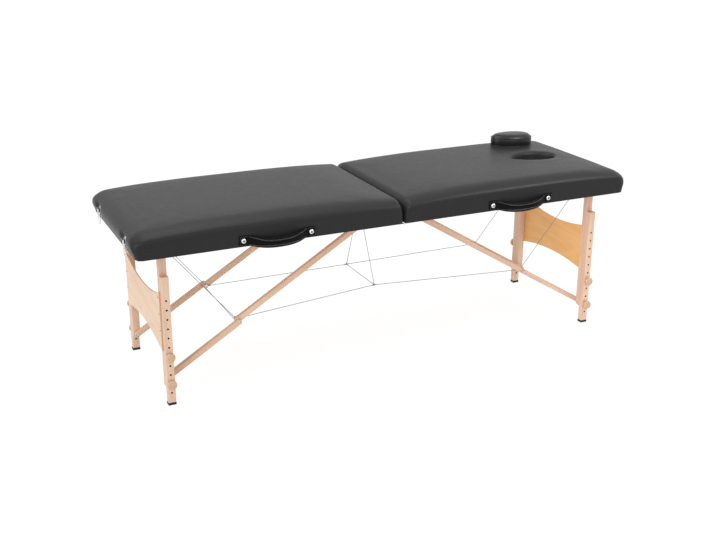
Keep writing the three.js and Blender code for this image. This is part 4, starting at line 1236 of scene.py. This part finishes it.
def knob(end, which, flank):
    """A turned wooden knob on a steel bolt whose head lies sunk in the wood on the inner side."""
    node = f"{which}_knob_{end}"
    low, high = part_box(node)
    inner, _ = flank_faces(node, flank)
    axis = (0, FLANKS[flank], 0)
    origin = ((low.x + high.x) / 2, inner, (low.z + high.z) / 2)
    hub = high.y - low.y - KNOB_LENGTH
    bolt = profile_of(BOLT_HEAD) + [(BOLT_RADIUS, hub + BOLT_IN_KNOB)]
    steel = Form().turned(origin, axis, bolt).piece(f"bolt_{node}", ZINC, node)
    outline = profile_of(KNOB_OUTLINE, begin=hub)
    wooden = Form().turned(origin, axis, outline, 40).piece(f"turned_{node}", TURNED, node)
    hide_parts(node)


for half in HALVES:
    for flank in FLANKS:
        for which in ("upper", "lower"):
            knob(f"{half}_{flank}", which, flank)


# Small repeats


SCREWS = marks_tree("screws", sample(screw_head(), "screw_sample", ZINC), ZINC)
BRIGHT_SCREWS = marks_tree("bright_screws", sample(screw_head(), "bright_screw_sample", CHROME), CHROME)
DARK_SCREWS = marks_tree("dark_screws", sample(screw_head(), "dark_screw_sample", DARK_STEEL), DARK_STEEL)
STAPLES = marks_tree("staples", sample(staple_bar(), "staple_sample", ZINC), ZINC)
STITCH_ROW = row_tree("stitch_row", sample(stitch_bar(), "stitch_sample", THREAD), THREAD)


# Drilled holes, darkened inside with painted shade


def bore_shade_sleeve():
    """A near-black sleeve of painted shade inside one drilled hole, open at both ends, facing +Z at its
    mouth.
    """
    mouth, back = -BORE_SUNK, -BORE_DEPTH
    loop = [(BORE_RADIUS, back), (BORE_RADIUS, mouth), (BORE_CLEAR_RADIUS, mouth), (BORE_CLEAR_RADIUS, back)]
    rings = [[(r * math.cos(t), r * math.sin(t), z) for t in around(BORE_SIDES)] for r, z in loop]
    return Form().stack(rings, closed=True)


# Copies of the sleeve of painted shade, one in each hole
BORE_SHADE_COPIES = marks_tree("linings", sample(bore_shade_sleeve(), "bore_sample", BORE_SHADE_PAINT), BORE_SHADE_PAINT)


def painted_bore_shades(half, flank):
    """Painted shade inside the row of holes in a leg's extension, but for the two that its knobs' bolts fill.
    """
    end = f"{half}_{flank}"
    _, face = flank_faces(f"extension_{end}", flank)
    at = middle(f"lower_knob_{end}")
    spots = marks([(at.x, face, at.z + step * HOLE_PITCH) for step in HOLE_STEPS], (0, FLANKS[flank], 0))
    made = run(f"bores_{end}", spots, BORE_SHADE_COPIES, BORE_SHADE_PAINT, f"leg_extension_{end}")


# Handles


def handle_section(share):
    """The strap's height, thickness, stand-off, sag, sleeve and roundness, from middle (0) to tab (1)."""
    body = (1 - min(1.0, share) ** 4) ** 2
    thick = HANDLE_TAB_THICK + (HANDLE_GRIP_THICK - HANDLE_TAB_THICK) * body
    sag = HANDLE_SAG * (1 - min(1.0, share) ** 2)
    sleeve = SLEEVE_STEP * max(0.0, min(1.0, (SLEEVE_SHARE - share) / SLEEVE_RAMP))
    return HANDLE_TAB_HEIGHT - GRIP_LOWER * body, thick, HANDLE_STAND * body, sag, sleeve, body


def handle(half):
    """A padded strap with a sleeve round its grip, two welts and flat tabs that are bolted to the rail."""
    low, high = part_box(f"handle_{half}")
    mid, reach = (low.x + high.x) / 2, (high.x - low.x) / 2
    grip = reach - HANDLE_TAB
    inner, centre_z = high.y, high.z - HANDLE_TAB_HEIGHT / 2
    joins = [SLEEVE_SHARE - SLEEVE_RAMP, SLEEVE_SHARE - SLEEVE_RAMP / 3, SLEEVE_SHARE]
    shares = sorted(spaced(0, 1, 1 / 34) + joins)
    edges = [reach - back for back in TAB_END_STATIONS]
    walks = [s * grip for s in shares] + spaced(grip, edges[0], TAB_STEP)[1:] + edges[1:]
    walks = [-w for w in reversed(walks[1:])] + walks

    def surface(walk, angle, lift=0.0):
        height, thick, stand, sag, sleeve, body = handle_section(abs(walk) / grip)
        power = 2.0 / (TAB_SQUARENESS - GRIP_LESS_SQUARE * body)
        ends = max(0.0, abs(walk) - (reach - TAB_EASE))
        half_h = height / 2 - ends + sleeve * SLEEVE_UP_SHARE + lift
        half_t = thick / 2 - ends * TAB_THIN_SHARE + lift
        c, n = math.cos(angle), math.sin(angle)
        out = math.copysign(abs(c) ** power, c) * half_t
        up = math.copysign(abs(n) ** power, n) * min(half_h, HANDLE_TAB_HEIGHT / 2)
        y = inner - stand - thick / 2 - out - sleeve * SLEEVE_OUT_SHARE * (out > 0)
        return (mid + walk, max(low.y + HANDLE_CLEAR, min(y, inner)), centre_z - sag + up)

    rings = [[surface(w, angle) for angle in around(HANDLE_SIDES)] for w in walks]
    body = f"section_{half}"
    made = Form().stack(rings).piece(f"padded_handle_{half}", HANDLE_VINYL, body, 50)
    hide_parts(f"handle_{half}")
    welts, seams = Form(), []
    sleeve_walks = [w for w in walks if abs(w) < grip * WELT_REACH]
    for way in (-1, 1):
        lean = math.asin(WELT_SHARE * 2) * WELT_LEAN_SHARE * way
        welts.tube([surface(w, lean, -WELT_SUNK) for w in sleeve_walks], WELT_RADIUS, 10)
        seams.append([surface(w, lean * SEAM_LEAN_SHARE, STITCH_LIFT) for w in sleeve_walks])
    welts.piece(f"handle_welts_{half}", PIPING_VINYL, body, ALL_SMOOTH)
    front = inner - HANDLE_TAB_THICK - STITCH_LIFT
    high_row = centre_z + HANDLE_TAB_HEIGHT / 2 - TAB_STITCH_INSET
    low_row = centre_z - HANDLE_TAB_HEIGHT / 2 + TAB_STITCH_INSET
    for way in (-1, 1):
        near, far = mid + way * (grip + TAB_STITCH_FROM_GRIP), mid + way * (reach - TAB_STITCH_FROM_END)
        turns = ((near, high_row), (far, high_row), (far, low_row), (near, low_row))
        seams.append([(x, front, z) for x, z in turns])
    run(f"handle_stitches_{half}", lines(seams), STITCH_ROW, THREAD, body)
    washers, heads = Form(), []
    for way in (-1, 1):
        at = (mid + way * (reach - HANDLE_TAB / 2), inner - HANDLE_TAB_THICK, centre_z)
        washers.turned(at, (0, -1, 0), profile_of(WASHER_CUP, WASHER_RADIUS), 40)
        heads.append(Vector(at) - Vector((0, WASHER_SEAT, 0)))
    washers.piece(f"handle_washers_{half}", CHROME, body)
    heads = marks(heads, (0, -1, 0))
    made = run(f"handle_screws_{half}", heads, DARK_SCREWS, DARK_STEEL, body, {"Scale": 0.95})


# Cables


def strand_section(angle):
    """The outline of a cable of six strands, as shares of its radius."""
    return 1 - STRAND_DEPTH * (1 - abs(math.cos(angle * CABLE_STRANDS / 2)))


def wire(form, start, end, trim=(0.0, 0.0)):
    """A twisted cable from start to end, shortened by trim at each end."""
    start, end = Vector(start), Vector(end)
    way = (end - start).normalized()
    a, b = start + way * trim[0], end - way * trim[1]
    count = max(2, round((b - a).length / CABLE_STEP))
    path = [a.lerp(b, i / count) for i in range(count + 1)]
    form.tube(path, CABLE_RADIUS, CABLE_SIDES, section=strand_section, lay=CABLE_LAY)


def ferrule(form, start, towards, begin=0.0, length=SLEEVE_LENGTH):
    """The pressed sleeve that closes an eye."""
    start = Vector(start)
    way = (Vector(towards) - start).normalized()
    profile = profile_of(SLEEVE_RIM, begin=begin)
    profile += [(r * MM, begin + length - a * MM) for r, a in reversed(SLEEVE_RIM)]
    form.turned(start, way, profile, 16)


def eye(form, centre, radius=EYE_RADIUS, flat_axis=(0, 1, 0)):
    """A loop of cable round a pin, lying square to the pin's axis."""
    axis = Vector(flat_axis).normalized()
    across = axis.orthogonal().normalized()
    over = axis.cross(across)
    ring = [Vector(centre) + (across * math.cos(t) + over * math.sin(t)) * radius for t in around(40)]
    form.tube(ring, EYE_WIRE, 8, closed=True)


def on_lane(node, flank, lane):
    """A node's middle in X and Z, on a cable's lane."""
    at = middle(node)
    return Vector((at.x, mid_y + FLANKS[flank] * lane, at.z))


def knee_of(half, flank, lane):
    return on_lane(f"knee_pin_{half}_{flank}", flank, lane)


def leg_pivot_of(half, flank, lane):
    return on_lane(f"leg_pivot_rod_{half}", flank, lane)


def on_middle(at):
    """The same place on the table's middle line."""
    return Vector((at.x, mid_y, at.z))


def net_middle(flank):
    return Vector((fold_x + NET_MIDDLE_X, mid_y + FLANKS[flank] * NET_MIDDLE_Y, NET_MIDDLE_Z))


def steel_piece(form, name, body=None, material=CABLE_STEEL):
    made = form.piece(name, material, body, ALL_SMOOTH)
    return made


def stays(half):
    """The taut cables from the leg's pivot to the knees, and the short one between the knees."""
    free, fixed, knees = Form(), Form(), Form()
    for flank in FLANKS:
        top, knee = leg_pivot_of(half, flank, STAY_LANE), knee_of(half, flank, STAY_LANE)
        wire(free, top, knee, (EYE_RADIUS + SLEEVE_LENGTH, EYE_RADIUS + KNEE_SLEEVE_LENGTH))
        eye(fixed, top)
        ferrule(fixed, top, knee, EYE_RADIUS)
        eye(knees, knee)
        ferrule(knees, knee, top, EYE_RADIUS, KNEE_SLEEVE_LENGTH)
        eye(knees, knee_of(half, flank, NET_LANE))
    run_free = steel_piece(free, f"stay_wires_{half}")
    top, knee = on_middle(leg_pivot_of(half, "near", STAY_LANE)), on_middle(knee_of(half, "near", STAY_LANE))
    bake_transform(run_free)
    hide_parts(f"stay_cable_{half}")
    steel_piece(fixed, f"stay_top_eyes_{half}", f"section_{half}")
    drop = Vector((0, 0, -EYE_BELOW_KNEE))
    wire(knees, knee_of(half, "near", NET_LANE) + drop, knee_of(half, "far", NET_LANE) + drop)
    steel_piece(knees, f"knee_eyes_{half}", f"upper_braces_{half}")


def net_run(name, start_of, end_of, trims):
    """One pair of the net's cables, straight from one place to the next."""
    form = Form()
    for flank in FLANKS:
        wire(form, start_of(flank), end_of(flank), trims)
    made = steel_piece(form, name)
    start, end = on_middle(start_of("near")), on_middle(end_of("near"))
    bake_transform(made)


def cable_net():
    """The net: a hanger under the fold that spreads to both sides and four long runs to the knees."""
    hub = Form()
    apex = Vector((fold_x + HANGER_X, mid_y, underside - HANGER_BELOW_FRAME))
    for flank in FLANKS:
        at = net_middle(flank)
        wire(hub, apex, at, (HANGER_EYE_RADIUS, 0))
        for half in HALVES:
            ferrule(hub, at, knee_of(half, flank, NET_LANE), HUB_SLEEVE_START, HUB_SLEEVE_LENGTH)
        ferrule(hub, at, apex, HUB_SLEEVE_START, HUB_SLEEVE_LENGTH)
        eye(hub, at, HUB_EYE_RADIUS, (1, 0, 0))
    wire(hub, net_middle("near"), net_middle("far"))
    hub.turned(apex, (0, 0, 1), profile_of(HANGER_SCREW), 16)
    eye(hub, apex - Vector((0, 0, HANGER_EYE_RADIUS)), HANGER_EYE_RADIUS, (1, 0, 0))
    made = steel_piece(hub, "net_hanger", "section_foot")
    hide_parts("cable_net")

    def knee(half):
        return lambda flank: knee_of(half, flank, NET_LANE)

    def split(flank):
        return net_middle(flank).lerp(knee_of("head", flank, NET_LANE), NET_SPLIT_SHARE)

    at_eye = (0, EYE_RADIUS)
    net_run("net_wires_foot", net_middle, knee("foot"), at_eye)
    net_run("net_wires_fold", net_middle, split, (0, 0))
    net_run("net_wires_head", split, knee("head"), at_eye)
    for half in HALVES:
        sleeves = Form()
        for flank in FLANKS:
            ferrule(sleeves, knee_of(half, flank, NET_LANE), net_middle(flank), EYE_RADIUS)
        steel_piece(sleeves, f"net_sleeves_{half}", f"upper_braces_{half}")


# Steel fittings


def knee_pin(half, flank):
    """The knee's pin: a domed head inside and a flush end outside."""
    node = f"knee_pin_{half}_{flank}"
    low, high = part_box(node)
    at = middle(node)
    inner, outer = flank_faces(node, flank)
    reach = abs(outer - inner)
    profile = [(POINT, 0)] + profile_of(PIN_DOME, (high.x - low.x) / 2) + [(PIN_RADIUS, PIN_HEAD)]
    profile += [(PIN_RADIUS, reach - PIN_EASE), (PIN_RADIUS - PIN_EASE, reach), (POINT, reach)]
    made = Form().turned((at.x, inner, at.z), (0, FLANKS[flank], 0), profile, 40)
    made = steel_piece(made, f"turned_{node}", f"upper_braces_{half}", ZINC)
    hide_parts(node)


def knee_bush(half, flank):
    """The pin's end, seen flush in the lower brace."""
    inner, outer = flank_faces(f"lower_brace_{half}_{flank}", flank)
    at = middle(f"knee_pin_{half}_{flank}")
    start, end = BUSH_SUNK_INSIDE, abs(outer - inner) - BUSH_SUNK_OUTSIDE
    profile = [(POINT, start), (BUSH_RADIUS, start), (BUSH_RADIUS, end - PIN_EASE)]
    profile += [(BUSH_RADIUS - PIN_EASE, end), (POINT, end)]
    made = Form().turned((at.x, inner, at.z), (0, FLANKS[flank], 0), profile)
    steel_piece(made, f"knee_bush_{half}_{flank}", f"lower_braces_{half}", ZINC)


def bail(flank):
    """The latch's bent wire, with its ends in the lever's ears."""
    node = f"latch_bail_{flank}"
    low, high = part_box(node)
    x = (low.x + high.x) / 2
    left, right = low.y + BAIL_RADIUS, high.y - BAIL_RADIUS
    top, bottom = high.z - BAIL_RADIUS, low.z + BAIL_RADIUS
    bend = BAIL_BEND
    path = [(x, left + BAIL_TIP, top)]
    corners = [((left + bend, top - bend), 90), ((left + bend, bottom + bend), 180),
               ((right - bend, bottom + bend), 270), ((right - bend, top - bend), 0)]
    for (y, z), start in corners:
        for step in range(7):
            angle = math.radians(start + 90 * step / 6)
            path.append((x, y + bend * math.cos(angle), z + bend * math.sin(angle)))
    path.append((x, right - BAIL_TIP, top))
    bent = Form().tube(path, BAIL_RADIUS * 0.97, 14)
    made = steel_piece(bent, f"bent_wire_{node}", node, CHROME)
    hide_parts(node)


def fitting_screws():
    """The screws of the panels, latches, keepers and hinge leaves."""
    for half, side in HALVES.items():
        low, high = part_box(f"end_panel_{half}")
        outer = high.x if side > 0 else low.x
        lane = (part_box(f"post_{half}_far")[0].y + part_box(f"post_{half}_far")[1].y) / 2 - mid_y
        spots = [(outer, mid_y + way * lane, high.z - drop) for way in (-1, 1) for drop in PANEL_SCREW_DROPS]
        spots = marks(spots, (side, 0, 0))
        made = run(f"panel_screws_{half}", spots, DARK_SCREWS, DARK_STEEL, f"legs_{half}", {"Scale": 0.85})
        low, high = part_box(f"hinge_leaf_{half}")
        rows = spaced(low.y + HINGE_SCREW_MARGIN, high.y - HINGE_SCREW_MARGIN, HINGE_SCREW_PITCH)
        spots = [((low.x + high.x) / 2 + side * HINGE_SCREW_ASIDE, y, leaf_underside(half)) for y in rows]
        spots = marks(spots, (0, 0, -1))
        made = run(f"hinge_screws_{half}", spots, SCREWS, ZINC, f"section_{half}", {"Scale": 0.6})
    plates, keepers = [], []
    for flank in FLANKS:
        low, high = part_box(f"latch_base_{flank}")
        face, y = upper_face(f"latch_base_{flank}", -1), (low.y + high.y) / 2
        from_top, from_bottom = PLATE_SCREW_INSETS
        plates += [(face, y, high.z - from_top), (face, y, low.z + from_bottom)]
        low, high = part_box(f"keeper_{flank}")
        face, y = upper_face(f"keeper_{flank}", 1), (low.y + high.y) / 2
        keepers += [(face, y + way * KEEPER_SCREW_ASIDE, high.z - KEEPER_SCREW_DROP) for way in (-1, 1)]
    plates, keepers = marks(plates, (-1, 0, 0)), marks(keepers, (1, 0, 0))
    made = run("latch_screws", plates, BRIGHT_SCREWS, CHROME, "section_foot", {"Scale": 0.66})
    made = run("keeper_screws", keepers, BRIGHT_SCREWS, CHROME, "section_head", {"Scale": 0.6})


def face_at(node, axis, sign, test):
    """The outermost coordinate of a node's points that pass a test."""
    picked = [v.co[axis] for v in NODES[node].data.vertices if test(v.co)]
    return max(picked) if sign > 0 else min(picked)


def leaf_underside(half):
    low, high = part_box(f"hinge_leaf_{half}")
    far_edge = high.x if half == "head" else low.x
    return face_at(f"hinge_leaf_{half}", 2, -1, lambda v: abs(v.x - far_edge) < LEAF_EDGE_NEAR)


def upper_face(node, sign):
    """The outermost X of a fitting's top edge."""
    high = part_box(node)[1]
    return face_at(node, 0, sign, lambda v: v.z > high.z - FITTING_TOP_NEAR)


def hem(half, side):
    """The cover's turned-under edge, stapled beneath the rails."""
    low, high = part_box(f"frame_{half}")
    top = underside - HEM_GAP
    strips = Form()
    spots, turns = [], []
    x0, x1 = low.x + HEM_INSET, high.x - HEM_INSET
    y0, y1 = low.y + HEM_INSET, high.y - HEM_INSET
    edge = x1 - HEM_WIDTH if side > 0 else x0
    for way in (-1, 1):
        start = y0 if way < 0 else y1 - HEM_WIDTH
        strips.slab((x0, start, top - HEM_THICK), (x1, start + HEM_WIDTH, top), HEM_EASE)
        for x in spaced(x0 + STAPLE_MARGIN, x1 - STAPLE_MARGIN, STAPLE_PITCH):
            spots.append((x, start + HEM_WIDTH / 2, top - HEM_THICK))
            turns.append(0.0)
    end_low = (edge, y0 + HEM_WIDTH, top - HEM_THICK * 1.05)
    strips.slab(end_low, (edge + HEM_WIDTH, y1 - HEM_WIDTH, top), HEM_EASE)
    for y in spaced(y0 + STAPLE_END_MARGIN, y1 - STAPLE_END_MARGIN, STAPLE_PITCH):
        spots.append((edge + HEM_WIDTH / 2, y, top - HEM_THICK))
        turns.append(math.pi / 2)
    body = f"section_{half}"
    strips.piece(f"hem_{half}", PAD_VINYL, body)
    spots = marks(spots, (0, 0, -1), turns)
    made = run(f"staples_{half}", spots, STAPLES, ZINC, body, {"Spin": 0.12})


studio()
for half, side in HALVES.items():
    pad(half, side)
    hem(half, side)
    handle(half)
    stays(half)
    for flank in FLANKS:
        knee_pin(half, flank)
        knee_bush(half, flank)
        painted_bore_shades(half, flank)
face_plug()
cable_net()
for flank in FLANKS:
    bail(flank)
fitting_screws()
